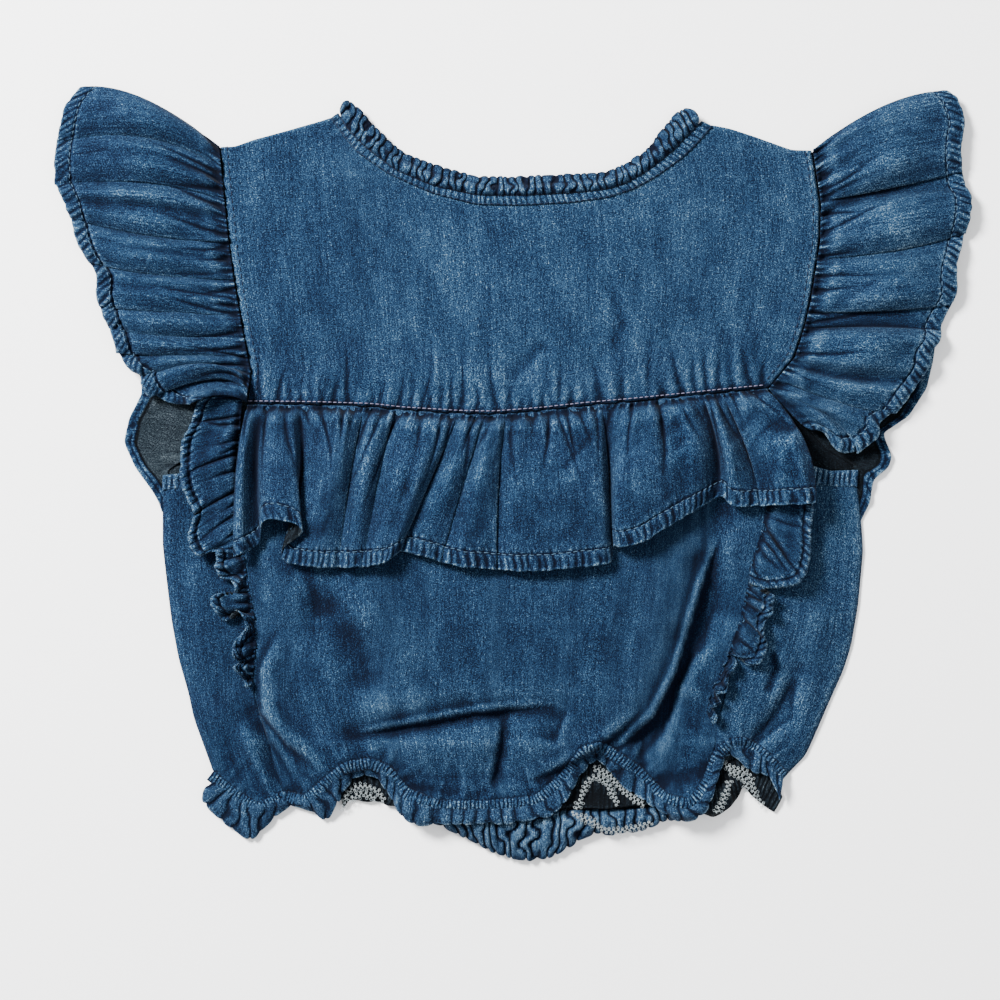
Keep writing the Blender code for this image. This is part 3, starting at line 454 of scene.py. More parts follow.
def shell_faces(points):
    """Four-sided faces of the upper sheet, of the lower sheet and of the rim."""
    n_u, n_v = points.shape[:2]
    count = n_u * n_v
    index = np.arange(count).reshape(n_u, n_v)
    corners_of = (index[:-1, :-1], index[1:, :-1], index[1:, 1:], index[:-1, 1:])
    top = np.stack([part.ravel() for part in corners_of], axis=1)
    rim = np.concatenate((index[:, 0], index[-1, 1:], index[-2::-1, -1], index[0, -2:0:-1]))
    after = np.roll(rim, -1)
    side = np.stack((rim, rim + count, after + count, after), axis=1)
    along = np.gradient(points, axis=0)
    across = np.gradient(points, axis=1)
    if np.cross(along, across)[..., 2].sum() < 0.0:
        top = top[:, ::-1]
        side = side[:, ::-1]
    return top, top[:, ::-1] + count, side


def shell(name, points, outer, inner, wear_and_highlight=0.0, shade_and_dye=0.0, turned=None):
    """A closed shell round a grid, with the marks and a cloth map in metres.

    Upper faces marked in `turned` take the inner finish: a hem turned to that side."""
    LAID[name] = points.copy()
    # The sheet's own ridges get a painted highlight, with their wear, and its hollows get painted
    # shade.
    ridge_highlight_and_wear, hollow_shade = relief_marks(points)
    half = normals_of(points) * THICK / 2.0
    both = np.concatenate(((points + half).reshape(-1, 3), (points - half).reshape(-1, 3)))
    verts = (both - CENTRE) * MM
    top, under, side = shell_faces(points)
    faces = np.concatenate((top, under, side))
    mesh = bpy.data.meshes.new(name)
    mesh.vertices.add(len(verts))
    mesh.vertices.foreach_set("co", verts.ravel())
    mesh.loops.add(faces.size)
    mesh.loops.foreach_set("vertex_index", faces.ravel())
    mesh.polygons.add(len(faces))
    mesh.polygons.foreach_set("loop_start", np.arange(0, faces.size, 4))
    finish = np.zeros(len(faces), dtype=int)
    finish[len(top):2 * len(top)] = 1
    if turned is not None:
        finish[:len(top)] = turned[:-1, :-1].ravel()
    mesh.materials.append(outer)
    mesh.materials.append(inner)
    mesh.polygons.foreach_set("material_index", finish)
    mesh.update(calc_edges=True)
    lengths = cloth_lengths(points).reshape(-1, 2)
    lengths = np.concatenate((lengths, lengths)) * MM
    cloth_map = mesh.uv_layers.new(name="cloth")
    cloth_map.data.foreach_set("uv", lengths[faces.ravel()].ravel())
    for mark, values in (("wear_and_highlight", ridge_highlight_and_wear + wear_and_highlight), ("shade_and_dye", hollow_shade + shade_and_dye)):
        layer = mesh.attributes.new(mark, "FLOAT", "POINT")
        flat = np.clip(values, 0.0, 1.5).ravel()
        layer.data.foreach_set("value", np.concatenate((flat, flat)))
    mesh.shade_smooth()
    mesh.validate()
    piece = bpy.data.objects.new(name, mesh)
    bpy.context.scene.collection.objects.link(piece)
    print(name, "points", points[..., 0].size, "triangles", 2 * len(faces))
    return piece


# %% [markdown]
# ## Chambray
# Chambray has indigo threads one way and white threads the other, so close up it is a
# speckle of dark and pale dots, with long faint streaks where a thread is thicker. Washing
# leaves it paler on rubbed edges and ridges and darker in creases. The material mixes noises
# that are stretched along the threads, shifts the mix by the two marks, and reads the colour
# off a ramp. The marks also hold painted shade in creases, hollows and shadowed pieces, and a
# painted highlight on ridges and crests. The same weave raises the surface a little through
# a bump.

# %% Cloth materials
def add_node(tree, kind, **values):
    """A node with some of its input values set."""
    node = tree.nodes.new(kind)
    for key_name, value in values.items():
        node.inputs[key_name.replace("_", " ")].default_value = value
    return node


def math_node(tree, operation, first, second):
    """A math node on two numbers or sockets."""
    node = tree.nodes.new("ShaderNodeMath")
    node.operation = operation
    for slot_number, value in enumerate((first, second)):
        if isinstance(value, (int, float)):
            node.inputs[slot_number].default_value = value
        else:
            tree.links.new(value, node.inputs[slot_number])
    return node.outputs[0]


def with_share(tree, first, part, share):
    """`first` with a share of `part` added."""
    return math_node(tree, "ADD", first, math_node(tree, "MULTIPLY", part, share))


def thread_noise(tree, source, scale, detail, shift=0.0):
    """Noise over the cloth map, with its own scale along and across the threads."""
    mapping = tree.nodes.new("ShaderNodeMapping")
    mapping.inputs["Scale"].default_value = (scale[0], scale[1], 1.0)
    mapping.inputs["Location"].default_value = (shift, shift * 0.7, shift * 0.3)
    tree.links.new(source, mapping.inputs["Vector"])
    noise = add_node(tree, "ShaderNodeTexNoise", Scale=1.0, Detail=detail, Roughness=0.6)
    tree.links.new(mapping.outputs["Vector"], noise.inputs["Vector"])
    return math_node(tree, "SUBTRACT", noise.outputs["Fac"], 0.5)


MIX_BASE = 0.46     # place on the ramp of cloth without marks
# How far a painted highlight with wear, and painted shade, move a point along the ramp.
WEAR_AND_HIGHLIGHT_GAIN = 0.34
SHADE_AND_DYE_GAIN = 0.42


def chambray(name, ramp_colours, contrast=1.35):
    """Washed chambray; `ramp_colours` run from the painted shade of creases to rubbed and
    highlighted ridges.
    """
    material = bpy.data.materials.new(name)
    material.use_nodes = True
    tree = material.node_tree
    shader = tree.nodes["Principled BSDF"]
    cloth = tree.nodes.new("ShaderNodeUVMap")
    cloth.uv_map = "cloth"
    source = cloth.outputs["UV"]
    speckle = thread_noise(tree, source, scale=(2100.0, 1800.0), detail=2.0)
    grain = thread_noise(tree, source, scale=(1300.0, 420.0), detail=2.0, shift=3.1)
    streak = thread_noise(tree, source, scale=(1150.0, 60.0), detail=2.0, shift=7.7)
    mottle = thread_noise(tree, source, scale=(70.0, 45.0), detail=3.0, shift=1.3)
    wear_and_highlight = tree.nodes.new("ShaderNodeAttribute")
    wear_and_highlight.attribute_name = "wear_and_highlight"
    shade_and_dye = tree.nodes.new("ShaderNodeAttribute")
    shade_and_dye.attribute_name = "shade_and_dye"
    mix = math_node(tree, "MULTIPLY", speckle, 1.45 * contrast)
    for part, share in ((grain, 0.50), (streak, 0.28), (mottle, 0.32)):
        mix = with_share(tree, mix, part, share * contrast)
    mix = math_node(tree, "ADD", mix, MIX_BASE)
    # The first mark lifts the mix towards the pale end (wear and painted highlight), the second
    # lowers it (painted shade).
    rub = with_share(tree, 0.72, grain, 1.6)
    rubbed_and_highlit = math_node(tree, "MULTIPLY", wear_and_highlight.outputs["Fac"], rub)
    mix = with_share(tree, mix, rubbed_and_highlit, WEAR_AND_HIGHLIGHT_GAIN)
    dark = math_node(tree, "MULTIPLY", shade_and_dye.outputs["Fac"], SHADE_AND_DYE_GAIN)
    mix = math_node(tree, "SUBTRACT", mix, dark)
    ramp = tree.nodes.new("ShaderNodeValToRGB")
    ramp.color_ramp.elements[0].position = 0.0
    ramp.color_ramp.elements[0].color = (*ramp_colours[0], 1)
    ramp.color_ramp.elements[1].position = 1.0
    ramp.color_ramp.elements[1].color = (*ramp_colours[-1], 1)
    for number, colour in enumerate(ramp_colours[1:-1], start=1):
        element = ramp.color_ramp.elements.new(number / (len(ramp_colours) - 1))
        element.color = (*colour, 1)
    tree.links.new(mix, ramp.inputs["Fac"])
    tree.links.new(ramp.outputs["Color"], shader.inputs["Base Color"])
    weave = with_share(tree, speckle, grain, 0.8)
    bump = add_node(tree, "ShaderNodeBump", Strength=0.35, Distance=0.0003)
    tree.links.new(weave, bump.inputs["Height"])
    tree.links.new(bump.outputs["Normal"], shader.inputs["Normal"])
    shader.inputs["Roughness"].default_value = 0.92
    shader.inputs["Specular IOR Level"].default_value = 0.05
    shader.inputs["Sheen Weight"].default_value = 0.015
    shader.inputs["Sheen Roughness"].default_value = 0.5
    return material


denim = chambray("denim", (
    (0.0005, 0.0014, 0.0050), (0.0011, 0.0036, 0.0115), (0.0030, 0.0108, 0.029),
    (0.0088, 0.0268, 0.056), (0.033, 0.069, 0.111), (0.125, 0.185, 0.23)))
denim_worn = chambray("denim_worn", (
    (0.0006, 0.0016, 0.005), (0.0016, 0.0048, 0.014), (0.0046, 0.0145, 0.035),
    (0.0135, 0.035, 0.068), (0.048, 0.089, 0.132), (0.155, 0.21, 0.25)))
denim_inside = chambray("denim_inside", (
    (0.0004, 0.0008, 0.0014), (0.0017, 0.0032, 0.0052), (0.005, 0.0084, 0.012),
    (0.0118, 0.0178, 0.023), (0.030, 0.040, 0.047), (0.070, 0.084, 0.093)), contrast=1.3)
print("cloth materials", denim.name, denim_worn.name, denim_inside.name)

# %% [markdown]
# ## Where the seams run
# These outlines are the ones that the solids were drawn with, point by point round each
# panel, so that the cloth lies where its solid lies.

# %% Outlines
YOKE_TOP = (
    (-119.7, 134.1), (-114.2, 134.1), (-106.0, 137.1), (-90.8, 141.2), (-77.5, 145.0),
    (-73.0, 146.6), (-67.9, 139.2), (-62.1, 132.6), (-49.4, 123.6), (-32.6, 116.2),
    (-15.0, 112.1), (3.1, 111.7), (24.8, 113.0), (39.2, 114.8), (48.2, 117.9),
    (56.8, 122.8), (67.9, 131.0), (74.4, 137.6), (80.2, 143.3), (88.8, 141.7),
    (99.0, 138.4), (114.6, 132.8), (122.8, 132.6),
)
ARM_LEFT = (
    (-119.7, 134.1), (-117.9, 115.4), (-115.8, 94.3), (-113.4, 77.7), (-110.1, 58.4),
    (-106.8, 41.6), (-108.4, 28.5),
)
ARM_RIGHT = (
    (122.8, 132.6), (126.1, 110.5), (125.7, 94.9), (122.0, 71.1), (119.5, 60.5),
    (115.4, 47.8), (104.8, 35.1),
)
YOKE_SEAM = (
    (-108.4, 28.5), (-79.7, 28.1), (-56.8, 27.3), (-46.1, 26.0), (-24.0, 24.6),
    (-8.4, 24.2), (10.5, 25.6), (29.3, 27.7), (51.9, 29.7), (83.4, 33.0), (104.8, 35.1),
)
PRINCESS_LEFT = (
    (-108.4, 28.5), (-110.1, 9.6), (-109.7, -10.9), (-108.4, -34.6), (-106.0, -50.2),
    (-104.3, -67.0), (-106.0, -81.0), (-106.0, -91.2), (-101.9, -104.8), (-94.1, -130.6),
)
PRINCESS_RIGHT = (
    (104.8, 35.1), (108.0, 17.8), (106.8, -2.7), (102.7, -27.3), (97.0, -47.8),
    (92.9, -67.0), (87.5, -88.8), (83.4, -105.2), (83.0, -113.5),
)
BODY_HEM = (
    (-94.1, -130.6), (-85.1, -132.6), (-78.1, -126.1), (-68.7, -118.3), (-57.6, -116.6),
    (-49.4, -120.7), (-42.8, -129.4), (-29.7, -134.3), (-9.2, -134.3), (9.2, -132.6),
    (18.7, -125.1), (28.5, -111.5), (36.7, -109.9), (52.3, -120.4), (62.5, -131.2),
    (72.0, -133.3), (78.5, -125.5), (83.0, -113.5),
)
SIDE_LEFT = (
    (-143.7, -6.8), (-143.7, -29.3), (-142.1, -43.7), (-140.0, -60.5), (-137.1, -76.1),
    (-133.0, -90.4), (-131.0, -100.2), (-127.7, -109.3), (-122.8, -122.4),
)
SIDE_RIGHT = (
    (141.7, -5.5), (142.9, -14.1), (144.1, -31.8), (142.1, -53.5), (139.2, -70.7),
    (135.9, -81.0), (128.9, -96.6), (123.6, -108.9), (120.3, -116.2), (113.0, -123.5),
)
UNDERARM_LEFT = (
    (-143.7, -6.8), (-135.1, -5.9), (-124.0, -1.8), (-115.8, 5.5), (-110.1, 14.6),
)
UNDERARM_RIGHT = (
    (108.4, 16.2), (115.8, 5.5), (124.0, -4.3), (133.5, -5.5), (141.7, -5.5),
)
BINDING_LEFT_TOP = (
    (-143.5, -0.8), (-135.1, 0.0), (-124.8, 3.9), (-117.1, 10.5), (-112.1, 20.3),
)
BINDING_RIGHT_TOP = (
    (110.5, 21.9), (117.1, 10.9), (123.2, 3.1), (130.6, 1.0), (142.1, 1.4),
)
SIDE_LEFT_HEM = ((-122.8, -122.4), (-113.8, -129.8), (-104.3, -135.9), (-94.1, -130.6))
SIDE_RIGHT_HEM = (
    (83.0, -113.5), (88.4, -108.9), (95.3, -108.2), (103.5, -113.4), (113.0, -123.5),
)
NECK_BAND_LOW = (
    (-74.4, 145.8), (-68.7, 138.0), (-63.8, 131.8), (-51.0, 122.8), (-33.0, 114.8),
    (-15.0, 110.1), (3.1, 109.7), (24.8, 110.9), (39.2, 113.0), (49.0, 116.2),
    (58.4, 121.2), (69.9, 129.4), (76.9, 136.3), (82.2, 142.5),
)
NECK_BAND_HIGH = (
    (-71.5, 147.8), (-66.6, 140.4), (-60.1, 133.9), (-47.8, 124.4), (-32.2, 117.9),
    (-15.0, 114.2), (3.1, 114.0), (24.8, 115.0), (39.2, 116.6), (47.4, 119.5),
    (55.6, 124.4), (65.4, 132.2), (72.0, 139.2), (77.7, 144.5),
)
NECK_FRILL_EDGE = (
    (-68.7, 154.0), (-62.1, 148.2), (-55.1, 140.0), (-45.3, 131.4), (-29.7, 125.3),
    (-14.1, 121.2), (2.7, 121.2), (24.8, 122.4), (38.3, 123.2), (44.9, 125.7),
    (54.3, 131.4), (62.1, 140.8), (67.9, 147.8), (73.6, 150.3),
)
BACK_OUTLINE_LEFT = (
    (-118.0, 132.6), (-116.2, 94.3), (-113.8, 77.7), (-110.5, 58.4), (-107.5, 44.0),
    (-117.0, 24.0), (-131.0, 10.0), (-142.5, 2.0), (-142.7, -12.0), (-142.7, -29.3),
    (-141.1, -43.7), (-139.0, -60.5), (-136.1, -76.1), (-132.0, -90.4), (-130.0, -100.2),
    (-126.7, -109.3), (-121.8, -122.4),
)
BACK_OUTLINE_RIGHT = (
    (121.2, 131.0), (124.6, 110.5), (124.2, 94.9), (120.6, 71.1), (115.0, 47.8),
    (118.0, 24.0), (130.0, 11.0), (141.2, 4.0), (142.2, -12.0), (143.1, -31.8),
    (141.1, -53.5), (138.2, -70.7), (134.9, -81.0), (127.9, -96.6), (122.6, -108.9),
    (119.3, -116.2), (111.8, -124.6),
)
BACK_NECK = (
    (-113.5, 132.6), (-105.0, 135.6), (-90.0, 139.6), (-77.5, 143.0), (-60.0, 121.0),
    (-36.1, 106.0), (0.0, 103.0), (45.0, 107.0), (68.0, 119.0), (88.0, 139.5),
    (98.0, 136.8), (114.0, 131.2),
)
BACK_HEM = (
    (-104.3, -133.5), (-92.0, -131.0), (-82.0, -134.0), (-58.0, -134.5), (-40.0, -138.0),
    (-8.0, -140.5), (20.0, -140.0), (50.0, -139.5), (66.0, -136.5), (80.0, -133.0),
    (96.0, -128.5),
)

# %% [markdown]
# ## The front's lie
# The body is full of air: it rises to a soft dome between the side seams, highest a hand's
# breadth above the hem. On the dome lie folds, each a straight ridge or trough with its own
# width and height, and on top of those the creases that the photograph shows most clearly.

# %% Height of the front
# along the body: y, left edge x, right edge x, puff at the middle
PUFF = (
    (160.0, -119.7, 122.8, 0.6), (110.0, -118.0, 126.1, 1.2), (60.0, -110.0, 119.0, 1.8),
    (30.0, -108.0, 106.0, 2.0), (0.0, -143.7, 142.0, 3.4), (-30.0, -143.7, 144.1, 6.6),
    (-60.0, -140.0, 141.0, 8.6), (-90.0, -133.0, 131.0, 8.8), (-110.0, -127.0, 123.0, 7.4),
    (-124.0, -121.0, 113.0, 3.6), (-140.0, -110.0, 100.0, 1.6),
)
# folds: from x, y to x, y, half-width, height
FOLDS = (
    (-103.0, 78.0, -92.0, 44.0, 5.0, -1.0), (-94.0, 86.0, -76.0, 44.0, 6.0, 1.3),
    (12.0, 51.0, -3.0, 36.0, 5.0, -1.1), (38.0, 78.0, 45.0, 61.0, 5.0, -1.0),
    (45.0, 61.0, 35.0, 44.0, 5.0, -1.2), (91.0, 56.0, 84.0, 37.0, 5.0, -1.2),
    (101.0, 134.0, 111.0, 116.0, 5.0, -0.8), (-102.0, -76.0, -101.0, -108.0, 8.0, 4.2),
    (-101.0, -109.0, -72.0, -121.0, 8.0, 3.0), (-87.0, -40.0, -83.0, -63.0, 7.0, -3.0),
    (-76.0, -40.0, -62.0, -57.0, 8.0, 2.6), (-62.0, -57.0, -41.0, -94.0, 8.0, 2.2),
    (-66.0, -107.0, -45.0, -102.0, 5.0, -3.4), (-45.0, -102.0, -20.0, -97.0, 6.0, -3.6),
    (-20.0, -97.0, 20.0, -95.0, 6.0, -2.6), (-3.0, -97.0, -6.0, -115.0, 4.0, -2.4),
    (-6.0, -115.0, -10.0, -131.0, 4.0, -1.6), (86.0, -16.0, 78.0, -37.0, 6.0, -3.4),
    (78.0, -37.0, 71.0, -67.0, 6.0, -4.6), (71.0, -67.0, 54.0, -106.0, 6.0, -4.4),
    (54.0, -106.0, 36.0, -117.0, 5.0, -2.4), (88.0, -64.0, 72.0, -88.0, 6.0, 3.0),
    (72.0, -90.0, 61.0, -110.0, 5.0, 2.6), (68.0, -93.0, 52.0, -120.0, 4.0, -3.2),
    (117.0, -82.0, 112.0, -98.0, 5.0, -3.2), (112.0, -98.0, 97.0, -113.0, 5.0, -3.4),
    (126.0, -60.0, 118.0, -96.0, 6.0, 1.6), (-119.0, -114.0, -109.0, -134.0, 5.0, -2.0),
    (-106.0, -98.0, -90.0, -130.0, 4.0, -3.0), (-132.0, -40.0, -124.0, -100.0, 7.0, 1.6),
)
# creases: width, height, tilt, then the line's points
CREASES = (
    (5.0, -1.8, 0.2, ((-106, 86), (-101, 62), (-93, 44))),
    (6.0, 1.8, 0.0, ((-96, 96), (-87, 66), (-76, 44))),
    (3.4, -1.6, 0.2, ((16, 56), (5, 45), (-3, 36))),
    (3.4, -1.3, -0.2, ((36, 84), (45, 62), (38, 46))),
    (3.2, -1.5, 0.2, ((92, 60), (88, 47), (84, 37))),
    (3.6, -1.8, 0.0, ((101, 135), (106, 125), (111, 112))),
    (9.0, -4.0, 0.0, ((-87, -46), (-72, -60), (-62, -77), (-57, -96))),
    (9.0, 1.6, 0.0, ((-74, -40), (-58, -54), (-44, -70), (-38, -86))),
    (2.4, -2.0, 0.0, ((-119, -114), (-114, -126), (-109, -134))),
    (2.6, -3.4, 0.3, ((-106, -98), (-98, -114), (-90, -131))),
    (2.4, 1.6, 0.0, ((-112, -100), (-106, -116), (-98, -132))),
    (3.0, 1.8, 0.0, ((84, -66), (73, -81), (66, -98), (62, -112))),
    (1.6, -2.0, 0.0, ((66, -93), (58, -106), (50, -120))),
    (2.6, -2.6, 0.3, ((117, -82), (112, -98), (97, -114))),
    (2.2, -1.6, 0.0, ((106, -71), (108, -80), (104, -92))),
)
# folds that hang over: drop, width of the drop, of the rise after it, then the line's points
STEPS = (
    (8.0, 1.6, 18.0, ((85, -24), (76.5, -51), (71, -70), (67, -82), (58, -100), (45, -111),
                      (38, -115))),
    (3.4, 1.3, 9.0, ((21, -94.5), (-1, -96), (-20, -98.5), (-46, -103.5), (-68, -107.5))),
    (2.4, 1.2, 9.0, ((-4, -98), (-5, -108), (-7, -119), (-10, -131))),
    (1.8, 2.2, 8.0, ((17, -113), (19, -106), (23, -95))),
    (2.4, 2.2, 8.0, ((54, -95), (45, -104), (32, -114), (12, -124), (2, -127))),
    (1.4, 5.0, 12.0, ((-87, -36), (-82, -51), (-80, -62))),
    (3.4, 2.6, 9.0, ((-77, -122), (-92, -111), (-102.5, -98), (-103, -80), (-95, -62))),
)
DOME_POWER = 2.6
FOLD_DOME = 1.5


def front_height(x, y):
    """Middle height of the front: puff, then folds and creases."""
    table = np.array(PUFF)[::-1]
    left = np.interp(y, table[:, 0], table[:, 1])
    right = np.interp(y, table[:, 0], table[:, 2])
    puff = np.interp(y, table[:, 0], table[:, 3])
    across = np.clip((2 * x - left - right) / (right - left), -1.0, 1.0)
    dome = puff * (1 - np.abs(across) ** DOME_POWER)
    height = dome.copy()
    fade = np.minimum(1.0, dome / FOLD_DOME)
    for x0, y0, x1, y1, half_width, rise in FOLDS:
        away = distance_to(((x0, y0), (x1, y1)), x, y)[0] / half_width
        height += 0.45 * rise * np.exp(-away ** 2) * fade * np.where(y > 36.0, 0.5, 1.0)
    calm = np.where(y > 30.0, 0.45, 1.0)
    for width, rise, tilt, line in CREASES:
        height += 0.8 * crease(x, y, line, width, rise, tilt) * fade * calm
    for drop, sharp, soft, line in STEPS:
        height += step_down(x, y, line, drop, sharp, soft) * fade
    arm = np.clip((y - 20.0) / 20.0, 0.0, 1.0) * np.clip((138.0 - y) / 16.0, 0.0, 1.0)
    return FRONT_LOW + arm + np.maximum(height, 0.0)


# %% [markdown]
# ## Lowest layer: back and back flounces
# Only slivers of the back show from above, but it is looked at from behind, so it gets the
# same cloth with a soft crumple. It lies flat on the table.

# %% Back panel
def pieces_done(piece, node):
    """Hangs a cloth piece on the root and hides the solid that it stands for."""
    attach(piece, "root")
    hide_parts(node)


def flat_height(plan, seed, size=9.0, rise=0.12):
    """Height of a piece that lies on the table, with a faint crumple."""
    x = plan[..., 0]
    y = plan[..., 1]
    soft = crumple(x, y, size, seed) + 0.5 * crumple(x, y, size / 2.3, seed + 1)
    return BACK_MIDDLE + rise * soft


def joined(plan, height):
    """Plan and height as one grid of points."""
    return np.concatenate((plan, height[..., None]), axis=2)


BACK_POINTS = 90
back_low = resampled(BACK_OUTLINE_LEFT[-1:] + BACK_HEM + BACK_OUTLINE_RIGHT[-1:], BACK_POINTS)
back_high = resampled(BACK_OUTLINE_LEFT[:1] + BACK_NECK + BACK_OUTLINE_RIGHT[:1], BACK_POINTS)
back_plan = patch(back_low, back_high, soft_line(BACK_OUTLINE_LEFT[::-1], BACK_POINTS),
                  soft_line(BACK_OUTLINE_RIGHT[::-1], BACK_POINTS))
# Painted shade: the back is darkened in the hollow under the right armhole.
armhole_shade = np.clip((back_plan[..., 0] - 112.0) / 6.0, 0.0, 1.0)
armhole_shade = armhole_shade * np.clip((back_plan[..., 1] + 20.0) / 6.0, 0.0, 1.0)
back = shell("back", joined(back_plan, flat_height(back_plan, 11)), denim_inside, denim,
             shade_and_dye=0.9 * armhole_shade * (back_plan[..., 1] < 40.0))
pieces_done(back, "back_panel")

# %% [markdown]
# ## Front panels
# Each panel is stretched between its seams and raised to the front's height. Where a
# gathered edge is sewn on, short ridges run into the panel. A panel ends in a seam that
# turns down by a cloth's thickness, which gives the seam its dark line.

# %% Panels
def over_back(plan):
    """Front height, raised where the back's casing and frill lie under it."""
    x = plan[..., 0]
    y = plan[..., 1]
    below = rest_height(x, y, ("casing_back",)) + PILE
    return np.maximum(front_height(x, y), np.where(below > PILE, below, 0.0))


def over_front(above):
    """Height `above` the front, as a function of the place."""
    return lambda x, y: over_back(np.stack((x, y), axis=2)) + above


SEAM_DROP = 0.5
SEAM_WIDTH = 0.8


def seam_dip(plan, lines):
    """How far the cloth turns down along its seam lines."""
    dip = np.zeros(plan.shape[:2])
    for line in lines:
        away = distance_to(line, plan[..., 0], plan[..., 1])[0]
        dip = np.maximum(dip, SEAM_DROP * np.exp(-(away / SEAM_WIDTH) ** 2))
    return dip


def soft_crumple(plan, seed, rise=0.16):
    """Large and small crumple of a washed panel, longer down the cloth than across."""
    x = plan[..., 0]
    y = plan[..., 1]
    large = crumple(x, 0.6 * y, 14.0, seed)
    middle = crumple(x + 0.3 * y, 0.55 * y, 5.5, seed + 1)
    small = crumple(x, 0.5 * y, 2.3, seed + 2)
    return rise * (1.3 * large + 0.55 * middle + 0.16 * small)


YOKE_SEAM_LINE = soft_line(YOKE_SEAM, 240)
NECK_FIRST = 5      # the neck edge's first and last points in YOKE_TOP
NECK_LAST = 18
SHOULDER_LEFT = YOKE_TOP[:NECK_FIRST + 1]
NECK_EDGE = YOKE_TOP[NECK_FIRST:NECK_LAST + 1]
SHOULDER_RIGHT = YOKE_TOP[NECK_LAST:]
YOKE_LINES = 92
yoke_top = soft_line(YOKE_TOP, len(YOKE_SEAM_LINE), ease=1.2)
yoke_plan = patch(YOKE_SEAM_LINE, yoke_top, soft_line(ARM_LEFT[::-1], YOKE_LINES),
                  soft_line(ARM_RIGHT[::-1], YOKE_LINES))


def yoke_height(plan):
    """Yoke: front height, gathers over its seam, puckers along armholes and neck."""
    x = plan[..., 0]
    y = plan[..., 1]
    height = front_height(x, y) + soft_crumple(plan, 21)
    away, _, run, length = distance_to(resampled(YOKE_SEAM, 14), x, y)
    height += 1.0 * gathers(run, away, length, 3.9, 8.0, 31)
    height += 1.1 * gathers(run, away, length, 9.0, 22.0, 32)
    height -= 1.3 * furrows(run, away, length, 6.0, 12.0, 36)
    for line, rise, pitch, reach, seed in (
            (ARM_LEFT, 0.3, 4.2, 3.5, 33), (ARM_RIGHT, 0.3, 4.2, 3.5, 34),
            (NECK_EDGE, 0.3, 3.8, 4.5, 35)):
        away, _, run, length = distance_to(line, x, y)
        height += rise * gathers(run, away, length, pitch, reach, seed)
    return height - seam_dip(plan, (YOKE_SEAM, ARM_LEFT, ARM_RIGHT, NECK_EDGE))


def yoke_fold_shade(plan):
    """Painted shade in the folds above the yoke's seam."""
    x = plan[..., 0]
    y = plan[..., 1]
    away, _, run, length = distance_to(resampled(YOKE_SEAM, 14), x, y)
    return 0.55 * furrows(run, away, length, 6.0, 12.0, 36)


def edge_band(plan, line, width):
    """1 at a line in plan, falling to 0 at `width` from it."""
    away = distance_to(line, plan[..., 0], plan[..., 1])[0]
    return np.clip(1.0 - away / width, 0.0, 1.0)


# Pale wear along the shoulder and armhole edges, and a painted highlight on the ridges of the
# gathers at the seam and the neck.
yoke_wear_and_highlight = np.zeros(yoke_plan.shape[:2])
for share, width, first, second in ((0.7, 1.2, SHOULDER_LEFT, SHOULDER_RIGHT),
                                    (0.35, 1.4, ARM_LEFT, ARM_RIGHT)):
    yoke_wear_and_highlight += share * np.maximum(edge_band(yoke_plan, first, width),
                                    edge_band(yoke_plan, second, width))
for line, pitch, reach, seed in ((YOKE_SEAM, 4.4, 7.0, 37), (NECK_EDGE, 5.5, 7.0, 38)):
    away, _, run, length = distance_to(line, yoke_plan[..., 0], yoke_plan[..., 1])
    ridges = gathers(run, away, length, pitch, reach, seed)
    yoke_wear_and_highlight += 0.8 * np.clip(ridges - 0.25, 0, 1) * np.clip(away / 2.0, 0, 1)
# Painted shade in a band along the seam, in the folds above it, and a little over the left half.
yoke_painted_shade = 0.9 * edge_band(yoke_plan, YOKE_SEAM, 3.4) + yoke_fold_shade(yoke_plan)
yoke_painted_shade += 0.12 * np.clip((-yoke_plan[..., 0] - 30.0) / 50.0, 0, 1)
yoke = shell("yoke", joined(yoke_plan, yoke_height(yoke_plan)), denim, denim_inside,
             wear_and_highlight=yoke_wear_and_highlight, shade_and_dye=yoke_painted_shade)
pieces_done(yoke, "front_yoke")

# %% [markdown]
# ## Ruffles
# A ruffle is drawn fold by fold. Each row of a table is one line across it, from the seam
# over its middle to the free edge, with three heights: a crest is high, a crease is low, and
# where a fold laps over the next, two rows change places, so the cloth turns under itself.
# A smooth surface runs through all rows. On it come close gathers at the seam, the double
# hem with its stitch groove and puckers, and a faint crumple.

# %% Ruffle
HEIGHT_STEPS = (0.0, 0.14, 0.5, 0.86, 1.0)
ROUGH = 0.35            # height of the crumple on a ruffle
VALLEY_SHADE = 0.8      # how dark the bottoms of its folds are


def even_rows(folds, count):
    """A fold table read at `count` places that are evenly spread along the cloth."""
    fine = np.linspace(0.0, len(folds) - 1.0, 40 * len(folds))
    rows = spline(folds, fine)
    step = np.zeros(len(fine) - 1)
    for x, y, z in ((0, 1, 6), (2, 3, 7), (4, 5, 8)):
        part = rows[:, (x, y, z)]
        step += np.linalg.norm(np.diff(part, axis=0), axis=1)
    run = np.concatenate(([0.0], np.cumsum(step)))
    place = np.interp(np.linspace(0.0, run[-1], count), run, fine)
    return spline(folds, place)


def snapped(line, x, y):
    """The nearest points on a line, in the order of its run."""
    line = np.array(line, dtype=float)
    place = np.maximum.accumulate(distance_to(line, x, y)[2])
    return read_along(line, run_of(line), place)


def across_steps(lines, hem_share):
    """Steps from seam to edge: closer at the seam, closest in the hem."""
    body = int(lines * 0.68)
    first = np.linspace(0.0, 1.0, body) ** 1.25 * (1.0 - hem_share)
    return np.concatenate((first, np.linspace(1.0 - hem_share, 1.0, lines - body + 1)[1:]))


